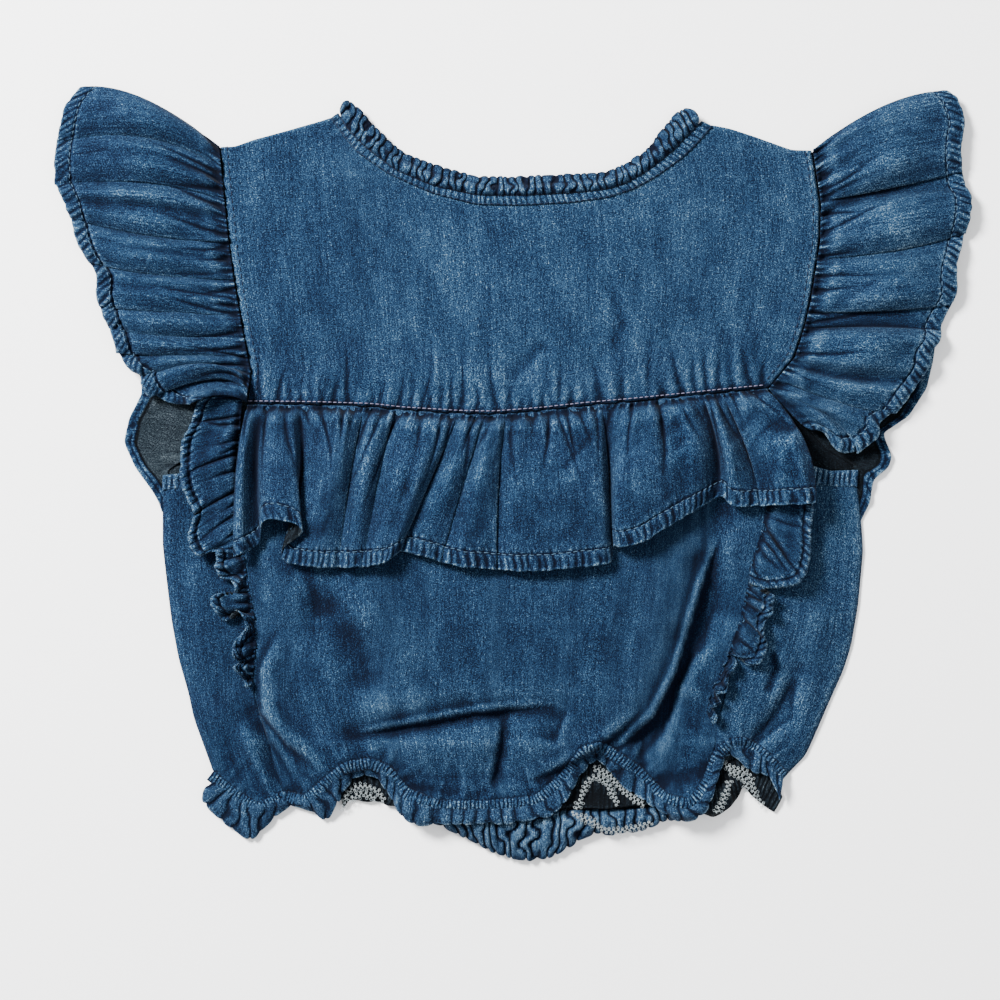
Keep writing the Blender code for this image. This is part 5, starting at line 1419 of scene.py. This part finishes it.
LEFT_FOLDS = (
    (-119.9, 133.9, -151.9, 154.0, -177.7, 158.5, 0.2, 1.0, 0.8, 0.3),
    (-119.9, 132.2, -150.7, 150.3, -183.1, 150.7, 0.7, 3.7, 2.6, 0.4),
    (-119.5, 128.9, -150.7, 144.1, -185.5, 142.1, 1.2, 5.8, 3.1, 0.5),
    (-119.1, 125.5, -151.1, 137.8, -186.8, 136.1, 0.9, 2.3, 1.5, 0.5),
    (-119.1, 125.9, -151.1, 139.0, -186.8, 136.5, 0.1, 0.2, 0.9, 0.5),
    (-119.1, 122.8, -151.1, 134.7, -187.2, 132.2, 1.1, 4.8, 2.8, 0.5),
    (-119.1, 119.9, -151.1, 131.0, -187.6, 128.5, 0.2, 5.4, 3.1, 0.5),
    (-118.7, 116.2, -150.7, 125.3, -187.6, 123.6, 1.1, 6.1, 3.1, 0.5),
    (-118.3, 112.3, -150.3, 119.1, -187.6, 118.7, 0.9, 2.5, 1.9, 0.5),
    (-118.3, 112.8, -150.3, 119.9, -187.6, 118.7, 0.1, 0.7, 1.8, 0.5),
    (-117.9, 107.6, -149.9, 113.8, -185.5, 115.0, 1.1, 5.8, 3.7, 0.6),
    (-117.5, 103.5, -149.4, 108.9, -183.9, 111.7, 0.1, 3.4, 2.6, 0.8),
    (-117.1, 99.4, -149.0, 103.5, -182.7, 108.4, 1.1, 5.4, 3.4, 1.0),
    (-117.1, 95.1, -149.0, 97.6, -181.4, 105.0, 0.9, 2.3, 1.7, 1.1),
    (-117.1, 95.5, -149.0, 98.8, -181.4, 105.4, 0.1, 0.2, 0.6, 1.1),
    (-117.1, 91.6, -148.2, 94.5, -180.2, 101.5, 1.1, 4.8, 3.1, 1.2),
    (-116.6, 87.9, -147.8, 91.2, -179.0, 97.4, 0.2, 4.8, 3.7, 1.2),
    (-117.1, 84.3, -147.4, 87.5, -177.3, 92.9, 1.2, 5.8, 4.0, 1.3),
    (-116.6, 79.4, -146.2, 81.4, -174.0, 86.9, 1.0, 2.5, 2.1, 1.4),
    (-116.6, 80.1, -146.2, 83.0, -174.0, 87.3, 0.1, 0.1, 0.8, 1.4),
    (-115.4, 76.9, -145.3, 79.3, -170.8, 82.6, 1.0, 4.1, 3.1, 1.5),
    (-114.2, 73.6, -144.5, 75.6, -170.4, 77.7, 0.2, 4.1, 3.4, 1.5),
    (-113.8, 69.5, -143.7, 72.0, -170.4, 73.6, 1.1, 5.1, 4.0, 1.5),
    (-113.0, 65.1, -142.9, 66.0, -169.5, 68.7, 0.9, 2.3, 2.3, 1.5),
    (-113.0, 65.7, -142.9, 68.1, -169.5, 69.5, 0.0, 0.0, 0.6, 1.5),
    (-112.1, 61.3, -141.2, 62.1, -167.5, 64.6, 1.2, 5.4, 4.3, 1.6),
    (-110.9, 56.2, -139.6, 55.8, -165.0, 59.4, 0.9, 2.5, 2.8, 1.6),
    (-110.9, 56.6, -139.6, 57.0, -165.0, 59.9, 0.1, 1.4, 2.6, 1.6),
    (-110.1, 51.5, -138.4, 52.3, -163.4, 55.1, 1.4, 5.8, 4.5, 1.6),
    (-109.7, 48.4, -137.1, 48.2, -162.2, 49.4, 1.1, 2.7, 3.0, 1.6),
    (-109.7, 48.8, -137.1, 49.8, -162.2, 51.0, 0.2, 0.4, 0.4, 1.6),
    (-108.9, 45.3, -135.5, 46.5, -157.6, 43.7, 1.4, 4.8, 3.7, 1.6),
    (-108.4, 41.8, -133.0, 42.4, -152.3, 40.2, 1.0, 2.0, 2.5, 1.6),
    (-108.4, 42.2, -133.0, 44.1, -152.3, 41.4, 0.0, 0.0, 0.6, 1.6),
    (-108.9, 37.9, -125.7, 44.1, -151.5, 35.9, 1.0, 7.8, 4.3, 1.4),
    (-109.3, 33.6, -122.4, 38.7, -148.6, 31.2, 0.9, 3.4, 2.8, 1.0),
    (-109.3, 34.0, -122.4, 41.2, -148.6, 33.2, 0.0, 0.0, 0.3, 1.0),
    (-109.7, 31.4, -119.9, 35.9, -141.2, 29.3, 0.6, 1.4, 1.8, 1.0),
    (-110.1, 29.3, -119.1, 31.8, -131.4, 28.1, 0.3, 0.8, 1.2, 0.8),
)
RIGHT_FOLDS = (
    (126.1, 133.5, 152.3, 150.7, 178.6, 157.2, 0.2, 1.0, 0.8, 0.3),
    (126.1, 131.0, 153.1, 146.6, 182.2, 154.0, 1.0, 3.7, 2.3, 0.4),
    (126.1, 127.7, 153.5, 142.1, 184.7, 148.2, 0.1, 4.4, 2.8, 0.4),
    (126.1, 124.4, 154.0, 137.6, 185.5, 143.3, 1.1, 5.4, 3.1, 0.4),
    (126.1, 120.7, 154.0, 132.2, 184.3, 138.0, 0.1, 6.5, 3.4, 0.4),
    (126.1, 117.5, 154.4, 127.3, 183.9, 133.5, 1.1, 7.1, 3.7, 0.4),
    (126.5, 115.0, 154.4, 122.8, 183.9, 129.4, 0.8, 6.1, 3.1, 0.4),
    (126.5, 111.9, 154.8, 117.1, 184.7, 124.0, 0.9, 2.3, 1.9, 0.4),
    (126.5, 112.3, 154.8, 118.7, 184.7, 124.0, 0.1, 0.0, 1.2, 0.4),
    (126.9, 108.4, 155.2, 114.6, 185.9, 117.9, 0.6, 1.0, 1.8, 0.4),
    (126.5, 103.1, 155.2, 110.5, 187.6, 114.6, 0.2, 5.1, 3.7, 0.4),
    (126.1, 97.0, 155.6, 104.3, 188.0, 110.1, 1.1, 7.1, 4.3, 0.4),
    (126.1, 92.9, 155.6, 97.8, 187.2, 103.9, 1.2, 6.8, 4.0, 0.4),
    (126.1, 88.5, 155.6, 91.2, 185.9, 98.8, 1.0, 2.7, 2.1, 0.4),
    (126.1, 89.1, 155.6, 92.9, 185.9, 99.2, 0.0, 0.0, 1.0, 0.4),
    (125.7, 85.1, 155.2, 86.7, 183.9, 92.0, 1.2, 5.1, 3.4, 0.4),
    (125.3, 79.7, 154.8, 81.0, 182.2, 85.9, 0.2, 5.8, 3.7, 0.4),
    (124.4, 74.8, 154.0, 75.6, 181.8, 80.2, 1.2, 6.1, 4.0, 0.4),
    (124.0, 70.7, 153.5, 71.1, 182.2, 75.2, 1.0, 5.8, 3.7, 0.4),
    (123.6, 66.0, 152.3, 66.8, 180.2, 69.5, 0.9, 2.3, 2.1, 0.5),
    (123.6, 66.4, 152.3, 68.1, 180.2, 69.5, 0.0, 0.3, 1.4, 0.5),
    (122.8, 62.5, 151.1, 63.3, 177.7, 65.0, 0.3, 0.3, 1.0, 0.6),
    (122.4, 58.6, 150.3, 60.3, 175.7, 58.8, 0.2, 0.2, 0.8, 0.7),
    (122.4, 58.2, 150.3, 59.0, 175.7, 58.0, 0.9, 2.9, 2.3, 0.7),
    (121.2, 54.3, 148.2, 55.6, 174.9, 53.9, 1.2, 7.1, 4.3, 0.8),
    (119.9, 49.8, 145.8, 49.8, 171.6, 49.8, 1.2, 7.8, 3.7, 1.2),
    (118.3, 46.1, 142.9, 44.1, 170.8, 44.5, 1.1, 6.1, 4.3, 1.2),
    (117.1, 42.4, 139.6, 39.2, 167.5, 38.7, 0.2, 1.6, 3.0, 1.2),
    (115.8, 37.9, 138.0, 35.5, 163.4, 33.4, 1.1, 5.4, 4.8, 1.2),
    (115.4, 33.6, 137.6, 28.1, 157.6, 25.0, 0.9, 2.2, 2.7, 1.2),
    (115.4, 34.0, 137.6, 29.7, 157.6, 26.2, 0.0, 0.2, 1.4, 1.2),
    (115.0, 29.7, 136.7, 25.2, 150.7, 21.1, 0.5, 4.4, 4.5, 1.2),
    (114.6, 26.4, 135.1, 22.8, 149.4, 15.0, 0.5, 5.1, 5.1, 1.2),
    (113.8, 24.6, 131.8, 21.3, 141.7, 8.2, 0.9, 2.3, 3.0, 1.3),
    (113.8, 25.0, 131.8, 23.4, 141.7, 9.4, 0.0, 0.2, 1.8, 1.3),
    (113.4, 23.2, 127.7, 22.3, 133.5, 8.8, 0.6, 4.1, 4.3, 1.4),
    (113.0, 21.5, 122.8, 21.1, 127.7, 16.6, 0.2, 1.2, 2.0, 1.4),
    (112.1, 20.3, 118.7, 19.9, 123.6, 19.5, 0.2, 0.8, 1.2, 0.8),
)

# %% [markdown]
# ## Seam ruffles
# The narrow ruffles in the seams between the centre and the side panels have only a seam
# and an edge in their tables, with the height of each fold; the middle is worked out.

# %% Seam ruffles
def wave_folds(table):
    """Fold rows of a narrow ruffle from its drawn seam, its drawn edge and its heights."""
    rows = []
    for sx, sy, ex, ey, tall in table:
        mx = 0.5 * (sx + ex)
        my = 0.5 * (sy + ey)
        rows.append((sx, sy, mx, my, ex, ey, 0.3 * tall, 0.9 * tall, 1.3 * tall, 1.0))
    return tuple(rows)


SEAM_RUFFLE_LEFT = (
    (-110.5, 32.6, -126.1, 31.0, 2.5), (-110.9, 29.3, -128.9, 28.9, 3.2),
    (-111.3, 24.0, -131.4, 20.7, 3.6), (-111.7, 17.8, -135.1, 12.5, 3.8),
    (-111.7, 10.5, -135.5, 2.7, 3.8), (-111.7, 3.1, -134.3, -6.8, 3.6),
    (-111.3, -4.3, -130.2, -16.2, 3.2), (-110.9, -10.9, -131.4, -21.9, 2.8),
    (-110.5, -16.6, -132.2, -27.3, 3.2), (-110.5, -21.5, -128.9, -33.4, 3.4),
    (-110.1, -25.6, -124.0, -32.2, 1.2), (-110.1, -28.9, -121.2, -32.2, 2.6),
    (-109.7, -31.8, -120.7, -35.5, 0.8), (-109.7, -34.2, -121.2, -38.3, 2.8),
    (-109.3, -37.1, -119.1, -42.4, 1.2), (-108.9, -40.0, -115.0, -43.7, 0.6),
    (-108.4, -42.8, -113.0, -46.9, 2.2), (-108.0, -45.3, -113.8, -51.0, 0.6),
    (-107.6, -47.8, -118.7, -49.0, 2.6), (-106.8, -50.2, -122.8, -51.0, 3.4),
    (-106.4, -53.1, -121.2, -56.0, 3.0), (-106.0, -56.0, -117.1, -60.1, 1.0),
    (-105.6, -58.4, -113.8, -56.0, 0.4), (-105.2, -60.9, -110.5, -57.2, 2.2),
    (-104.8, -63.8, -108.4, -62.9, 2.4), (-104.8, -66.6, -110.5, -65.4, 0.6),
    (-104.8, -69.9, -113.8, -70.3, 2.8), (-105.2, -73.6, -113.8, -74.8, 2.6),
    (-105.6, -76.9, -111.7, -77.3, 0.8), (-106.0, -80.2, -113.8, -79.3, 2.6),
    (-106.4, -83.4, -110.5, -83.4, 0.8), (-106.4, -86.3, -108.4, -87.5, 1.8),
)
SEAM_RUFFLE_RIGHT = (
    (107.2, 14.1, 117.9, 13.7, 2.0), (107.2, 6.4, 120.3, 4.7, 2.6),
    (106.4, -1.8, 122.0, -5.1, 3.0), (105.2, -9.2, 122.4, -12.9, 3.2),
    (103.9, -15.0, 121.6, -23.2, 3.6), (102.7, -19.9, 121.2, -32.6, 3.6),
    (101.5, -24.8, 118.7, -42.4, 3.6), (100.2, -28.9, 113.8, -45.7, 3.2),
    (99.0, -32.6, 105.6, -46.9, 2.6), (98.2, -35.5, 99.8, -46.1, 2.0),
    (97.4, -38.3, 96.6, -44.9, 0.6), (97.0, -41.2, 101.5, -48.6, 1.6),
    (96.6, -43.7, 106.4, -49.8, 3.2), (96.1, -46.9, 106.0, -53.5, 1.2),
    (95.3, -50.2, 105.6, -57.2, 3.0), (94.5, -53.9, 103.1, -60.9, 0.8),
    (93.7, -57.2, 102.3, -65.4, 2.8), (92.9, -60.5, 103.9, -69.1, 1.0),
    (91.6, -64.2, 102.7, -73.6, 3.2), (90.4, -67.4, 100.7, -77.3, 2.6),
    (89.6, -70.3, 96.1, -78.5, 0.8), (88.8, -72.4, 93.3, -75.6, 2.2),
    (87.9, -74.4, 90.4, -74.4, 0.6), (86.7, -76.9, 91.6, -78.1, 1.6),
    (85.5, -79.7, 88.4, -83.0, 2.6), (84.3, -83.0, 87.1, -88.8, 3.0),
    (82.6, -86.3, 83.4, -90.4, 0.8), (81.4, -88.8, 85.1, -93.7, 2.2),
    (80.6, -91.6, 81.8, -96.1, 0.8), (80.2, -94.5, 83.4, -99.4, 2.4),
    (79.7, -97.8, 81.8, -102.3, 1.6),
)


# The fifth value is an even painted shade over the ruffle, a little stronger on the left.
for side, table, seed, reach, shade_tone, flat in (
        ("left", SEAM_RUFFLE_LEFT, 101, 16.0, 0.4, (0.16, 0.020)),
        ("right", SEAM_RUFFLE_RIGHT, 105, 14.0, 0.35, (0.16, 0.018))):
    below = ("back", "side_" + side, "center", "binding_" + side)
    strip = ruffle("strip_" + side, wave_folds(table), count=420, lines=26, on=below, seed=seed,
                   hem=3.4, tick=(2.2, 0.9, 3.0), fold=(4.5, 1.2, 6.0),
                   furrow=(5.5, 3.0, reach), pucker=0.8, hem_wear=2.4, shade_tone=shade_tone,
                   sewn=("center",))
    pieces_done(strip, "seam_ruffle_" + side)

# %% [markdown]
# ## Shoulder flounces and yoke ruffle
# The flounces start on the armhole seams and lie on the narrow ruffles. The yoke ruffle
# comes last, because it lies on all of them.

# %% Shoulder flounces and yoke ruffle
# The last value is an even painted shade over the flounce, much stronger on the left, which faces
# the lamp; the yoke ruffle below gets one as well.
for side, table, arm, off, below, seed, shade_tone in (
        ("left", LEFT_FOLDS, ARM_LEFT, 0.5, ("back", "strip_left"), 111, 0.30),
        ("right", RIGHT_FOLDS, ARM_RIGHT, -0.5, ("back", "strip_right", "binding_right"),
         115, 0.08)):
    flounce = ruffle("wing_" + side, table, count=334, lines=53, on=below, seed=seed,
                     seam=set_off(arm, off), billow=1.6, tick=(2.1, 1.2, 5.0),
                     fold=(4.5, 1.8, 10.0), raised=front_height, pucker=0.42, shade_tone=shade_tone)
    pieces_done(flounce, "flounce_" + side)
below = ("center", "side_left", "side_right", "strip_left", "strip_right", "wing_left",
         "wing_right", "back")
yoke_ruffle = ruffle("ruffle_front", YOKE_FOLDS, count=540, lines=54, on=below, seed=121,
                     seam=set_off(YOKE_SEAM, 0.6), billow=1.0, sewn=("yoke",), shade_tone=0.28)
pieces_done(yoke_ruffle, "yoke_ruffle")

# %% [markdown]
# ## Back flounces
# The back halves of the shoulder flounces lie flat on the table. Their turned hems show
# past the front flounces, with two rows of stitch grooves and small puckers.

# %% Back flounces
BACK_HEM_WIDTH = 4.4
BACK_FLOUNCE_POINTS = 170
BACK_FLOUNCE_LINES = 40
ARMHOLE_POINTS = 9      # points of the back's outline that the flounce is sewn to
for side, outline, out, edge, seed in (
        ("left", BACK_OUTLINE_LEFT, -1.2, BACK_FLOUNCE_LEFT_EDGE, 131),
        ("right", BACK_OUTLINE_RIGHT, 1.2, BACK_FLOUNCE_RIGHT_EDGE, 132)):
    low = resampled(set_off(outline, out)[:ARMHOLE_POINTS], BACK_FLOUNCE_POINTS)
    high = soft_line(edge, BACK_FLOUNCE_POINTS, ease=1.2)
    v = np.linspace(0.0, 1.0, BACK_FLOUNCE_LINES)[None, :, None]
    plan = low[:, None, :] * (1 - v) + high[:, None, :] * v
    away = v[..., 0] * np.linalg.norm(high - low, axis=1)[:, None]
    left = away[:, -1:] - away
    in_hem = np.clip((BACK_HEM_WIDTH - left) / 0.8, 0.0, 1.0)
    groove = np.exp(-((left - BACK_HEM_WIDTH) / 0.6) ** 2)
    groove += np.exp(-((left - 0.5 * BACK_HEM_WIDTH) / 0.45) ** 2)
    run = np.linspace(0.0, line_length(edge), BACK_FLOUNCE_POINTS)[:, None] + 0.0 * away
    ripple = crumple(run + 0.7 * left, 0.2 * left, 2.0, seed + 4)
    over = flat_height(plan, seed, 12.0, 0.1) + 0.7 * np.exp(-(away / 2.5) ** 2)
    over += 0.5 * in_hem - 0.25 * groove + 0.35 * ripple * in_hem
    over += 0.9 * np.clip(crumple(run, 0.4 * left, 9.0, seed + 5), 0.0, 1.0)
    # Painted shade in the hollow under the right armhole, in the stitch grooves and in the pucker
    # troughs; pale wear on the edge and a painted highlight on the pucker crests.
    hollow_shade = np.clip((plan[..., 0] - 112.0) / 6.0, 0.0, 1.0)
    hollow_shade = hollow_shade * np.clip((30.0 - plan[..., 1]) / 6.0, 0.0, 1.0)
    wear_and_highlight = 0.9 * np.exp(-(left / 0.5) ** 2) + 0.3 * in_hem * np.clip(ripple, 0, 1)
    shade_and_dye = 0.9 * groove + 0.5 * in_hem * np.clip(-ripple, 0, 1)
    shade_and_dye += 0.8 * hollow_shade * (left > BACK_HEM_WIDTH)
    piece = shell("back_wing_" + side, joined(plan, over), denim_inside, denim, wear_and_highlight=wear_and_highlight,
                  shade_and_dye=shade_and_dye, turned=left < BACK_HEM_WIDTH)
    pieces_done(piece, "back_flounce_" + side)

# %% [markdown]
# ## Threads
# Stitches and the white overlock loops are threads along short or long paths. One Geometry
# Nodes tree turns any set of paths into round thread; its radius, the number of its sides
# and its material are named inputs. The paths follow the grids that are already laid.

# %% Thread tree
def thread_tree():
    """Paths in, round thread out. Returns the tree and the identifiers of its inputs."""
    tree = bpy.data.node_groups.new("thread", "GeometryNodeTree")
    keys = {}
    for title, kind in (("Paths", "NodeSocketGeometry"), ("Radius", "NodeSocketFloat"),
                        ("Sides", "NodeSocketInt"), ("Material", "NodeSocketMaterial")):
        socket = tree.interface.new_socket(title, in_out="INPUT", socket_type=kind)
        keys[title] = socket.identifier
    tree.interface.new_socket("Thread", in_out="OUTPUT", socket_type="NodeSocketGeometry")
    source = tree.nodes.new("NodeGroupInput")
    result = tree.nodes.new("NodeGroupOutput")
    curve = tree.nodes.new("GeometryNodeMeshToCurve")
    ring = tree.nodes.new("GeometryNodeCurvePrimitiveCircle")
    tube = tree.nodes.new("GeometryNodeCurveToMesh")
    tube.inputs["Fill Caps"].default_value = True
    real = tree.nodes.new("GeometryNodeRealizeInstances")
    cover = tree.nodes.new("GeometryNodeSetMaterial")
    for giver, given, taker, taken in (
            (source, "Paths", curve, "Mesh"), (source, "Sides", ring, "Resolution"),
            (source, "Radius", ring, "Radius"), (curve, "Curve", tube, "Curve"),
            (ring, "Curve", tube, "Profile Curve"), (tube, "Mesh", real, "Geometry"),
            (real, "Geometry", cover, "Geometry"), (source, "Material", cover, "Material"),
            (cover, "Geometry", result, "Thread")):
        tree.links.new(giver.outputs[given], taker.inputs[taken])
    return tree, keys


THREAD_TREE, THREAD_KEYS = thread_tree()


def threads(name, paths, radius, sides, material):
    """One object of round thread along all `paths`, given in millimetres."""
    points = (np.concatenate(paths) - CENTRE) * MM
    edges = []
    first = 0
    for path in paths:
        edges += [(first + k, first + k + 1) for k in range(len(path) - 1)]
        first += len(path)
    mesh = bpy.data.meshes.new(name + "_paths")
    mesh.from_pydata(points.tolist(), edges, [])
    thing = bpy.data.objects.new(name, mesh)
    bpy.context.scene.collection.objects.link(thing)
    made = thing.modifiers.new("thread", "NODES")
    made.node_group = THREAD_TREE
    made[THREAD_KEYS["Radius"]] = radius * MM
    made[THREAD_KEYS["Sides"]] = sides
    made[THREAD_KEYS["Material"]] = material
    ready = thing.evaluated_get(bpy.context.evaluated_depsgraph_get())
    plain = bpy.data.meshes.new_from_object(ready)
    plain.shade_smooth()
    thing.modifiers.clear()
    thing.data = plain
    bpy.data.meshes.remove(mesh)
    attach(thing, "root")
    print(name, "paths", len(paths), "faces", len(plain.polygons))
    return thing


# %% [markdown]
# ## Rows of stitches
# A stitch bows up out of the cloth and dips into it at both its ends. Rows run above the
# yoke's seam, along both edges of the neck band, along the armholes, and along the hems of
# the yoke ruffle and of the flounces.

# %% Thread paths
STITCH_LIFT = 0.28


def on_piece(name, line):
    """A plan line laid on a piece's upper side."""
    height = sewn_to((name,), line[:, 0], line[:, 1]) + THICK / 2
    return np.concatenate((line, height[:, None]), axis=1)


def hem_row(name, inside):
    """The line on a ruffle that runs `inside` mm in from its free edge."""
    rows = [read_along(points, run_of(points), [inside]) for points in LAID[name][:, ::-1]]
    return np.concatenate(rows) + np.array((0.0, 0.0, THICK / 2))


def stitch_paths(line, size, gap):
    """Stitches along a line in space; each dips into the cloth at both its ends."""
    run = run_of(line)
    bow = np.array((-1.3, 0.5, 1.0, 0.5, -1.3)) * STITCH_LIFT
    paths = []
    for start in np.arange(0.0, run[-1] - size, size + gap):
        want = start + np.array((0.0, 0.2, 0.5, 0.8, 1.0)) * size
        path = read_along(line, run, want)
        path[:, 2] += bow
        paths.append(path)
    return paths


def overlock_path(line, width, pitch, seed):
    """Loops of overlock thread along a line in space."""
    rng = np.random.default_rng(seed)
    loops = int(line_length(line) / pitch)
    turn = np.linspace(0.0, loops, loops * 8 + 1)
    run = run_of(line)
    loose = rng.uniform(0.5, 1.3, loops + 1)[np.minimum(turn.astype(int), loops)]
    place = (turn + 0.45 * np.sin(4 * np.pi * turn)) * pitch
    middle = read_along(line, run, place)
    plan = line[:, :2]
    way = unit(read_along(plan, run, turn * pitch + 1.0)
               - read_along(plan, run, turn * pitch - 1.0))
    side = 0.5 * width * loose * np.sin(2 * np.pi * turn)
    middle[:, 0] -= way[:, 1] * side
    middle[:, 1] += way[:, 0] * side
    middle[:, 2] += 0.2 * np.cos(4 * np.pi * turn)
    return middle


def kept_on(names, line):
    """The longest run of a plan line's points that lies on the pieces' cloth."""
    grid = np.concatenate([LAID[name].reshape(-1, 3)[:, :2] for name in names])
    far = np.array([np.min(np.sum((grid - point) ** 2, axis=1)) for point in line])
    cuts = np.flatnonzero(np.diff(np.concatenate(([0], far < 1.0, [0]))))
    starts, ends = cuts[::2], cuts[1::2]
    longest = np.argmax(ends - starts)
    return line[starts[longest]:ends[longest]]


def thread_material(name, colour):
    """Cotton thread of one colour."""
    material = plain_material(name, colour, 0.8)
    material.node_tree.nodes["Principled BSDF"].inputs["Specular IOR Level"].default_value = 0.2
    return material


pale_thread = thread_material("pale_thread", (0.10, 0.095, 0.14, 1.0))
navy_thread = thread_material("navy_thread", (0.004, 0.007, 0.020, 1.0))
blue_thread = thread_material("blue_thread", (0.032, 0.064, 0.100, 1.0))
white_thread = thread_material("white_thread", (0.21, 0.24, 0.25, 1.0))

# %% Stitches
yoke_row = on_piece("yoke", set_off(resampled(YOKE_SEAM_LINE, 300), -1.3))
threads("yoke_stitches", stitch_paths(yoke_row, size=1.7, gap=0.6), radius=0.2, sides=6,
        material=pale_thread)
navy = []
for line, off in ((NECK_BAND_LOW, -0.4), (NECK_BAND_HIGH, 0.3)):
    shifted = set_off(soft_line(line, 260, ease=1.5), off)
    navy += stitch_paths(on_piece("neck_band", shifted), size=1.9, gap=0.6)
for line, off in ((ARM_LEFT, -2.6), (ARM_RIGHT, 2.6)):
    shifted = set_off(soft_line(line, 150), off)
    navy += stitch_paths(on_piece("yoke", shifted), size=2.2, gap=0.9)
threads("navy_stitches", navy, radius=0.17, sides=5, material=navy_thread)
blue = []
for name in ("ruffle_front", "wing_left", "wing_right"):
    blue += stitch_paths(hem_row(name, HEM), size=2.2, gap=0.9)
threads("blue_stitches", blue, radius=0.2, sides=5, material=blue_thread)

# %% [markdown]
# ## Overlock at the hem's arches
# Where the hem turns over, its inner side shows the white loops that keep the cut edge from
# fraying. Two rounds of loops, a wide and a narrow one, run along each line.

# %% Overlock at the hem's arches
# lines in plan, on the inner side of the hem where it turns over
OVERLOCK = (
    ((26.4, -137.6), (28.5, -132.2), (31.4, -125.7), (34.6, -124.4),
     (38.7, -126.5), (40.8, -131.0), (43.3, -135.9)),
    ((24.0, -138.8), (27.3, -140.4), (33.0, -142.5), (37.5, -146.2),
     (45.3, -146.2), (50.6, -144.9), (58.0, -142.5)),
    ((33.0, -120.7), (36.7, -122.4), (40.0, -124.0),
     (44.9, -129.8), (50.6, -133.9), (55.6, -136.3)),
    ((-69.1, -138.8), (-69.5, -135.1), (-67.4, -130.6), (-63.3, -128.5),
     (-59.2, -128.5), (-55.1, -130.6), (-52.7, -133.9), (-52.7, -138.8)),
    ((-67.0, -136.3), (-65.0, -132.6), (-60.9, -131.4), (-56.8, -133.0), (-55.6, -136.3)),
    ((86.7, -119.5), (90.8, -121.2), (96.6, -122.4),
     (98.2, -126.1), (99.4, -131.8), (104.3, -138.4)),
    ((83.4, -138.8), (85.9, -133.9), (87.9, -128.9), (89.2, -124.8)),
    ((88.4, -122.0), (92.9, -124.0), (95.7, -125.7),
     (96.6, -129.8), (97.4, -133.9), (102.3, -138.8)),
)
loops = []
for number, line in enumerate(OVERLOCK):
    fine = kept_on(HEM_CLOTH, soft_line(line, 160, ease=1.0))
    x, y = fine.T
    over = np.maximum(sewn_to(HEM_CLOTH, x, y), rest_height(x, y, HEM_CLOTH)) + THICK / 2
    spread = np.concatenate((fine, over[:, None] + 0.2), axis=1)
    for width, seed in ((3.4, 141), (2.0, 161)):
        loops.append(overlock_path(spread, width, pitch=1.9, seed=seed + number))
threads("overlock", loops, radius=0.085, sides=5, material=white_thread)
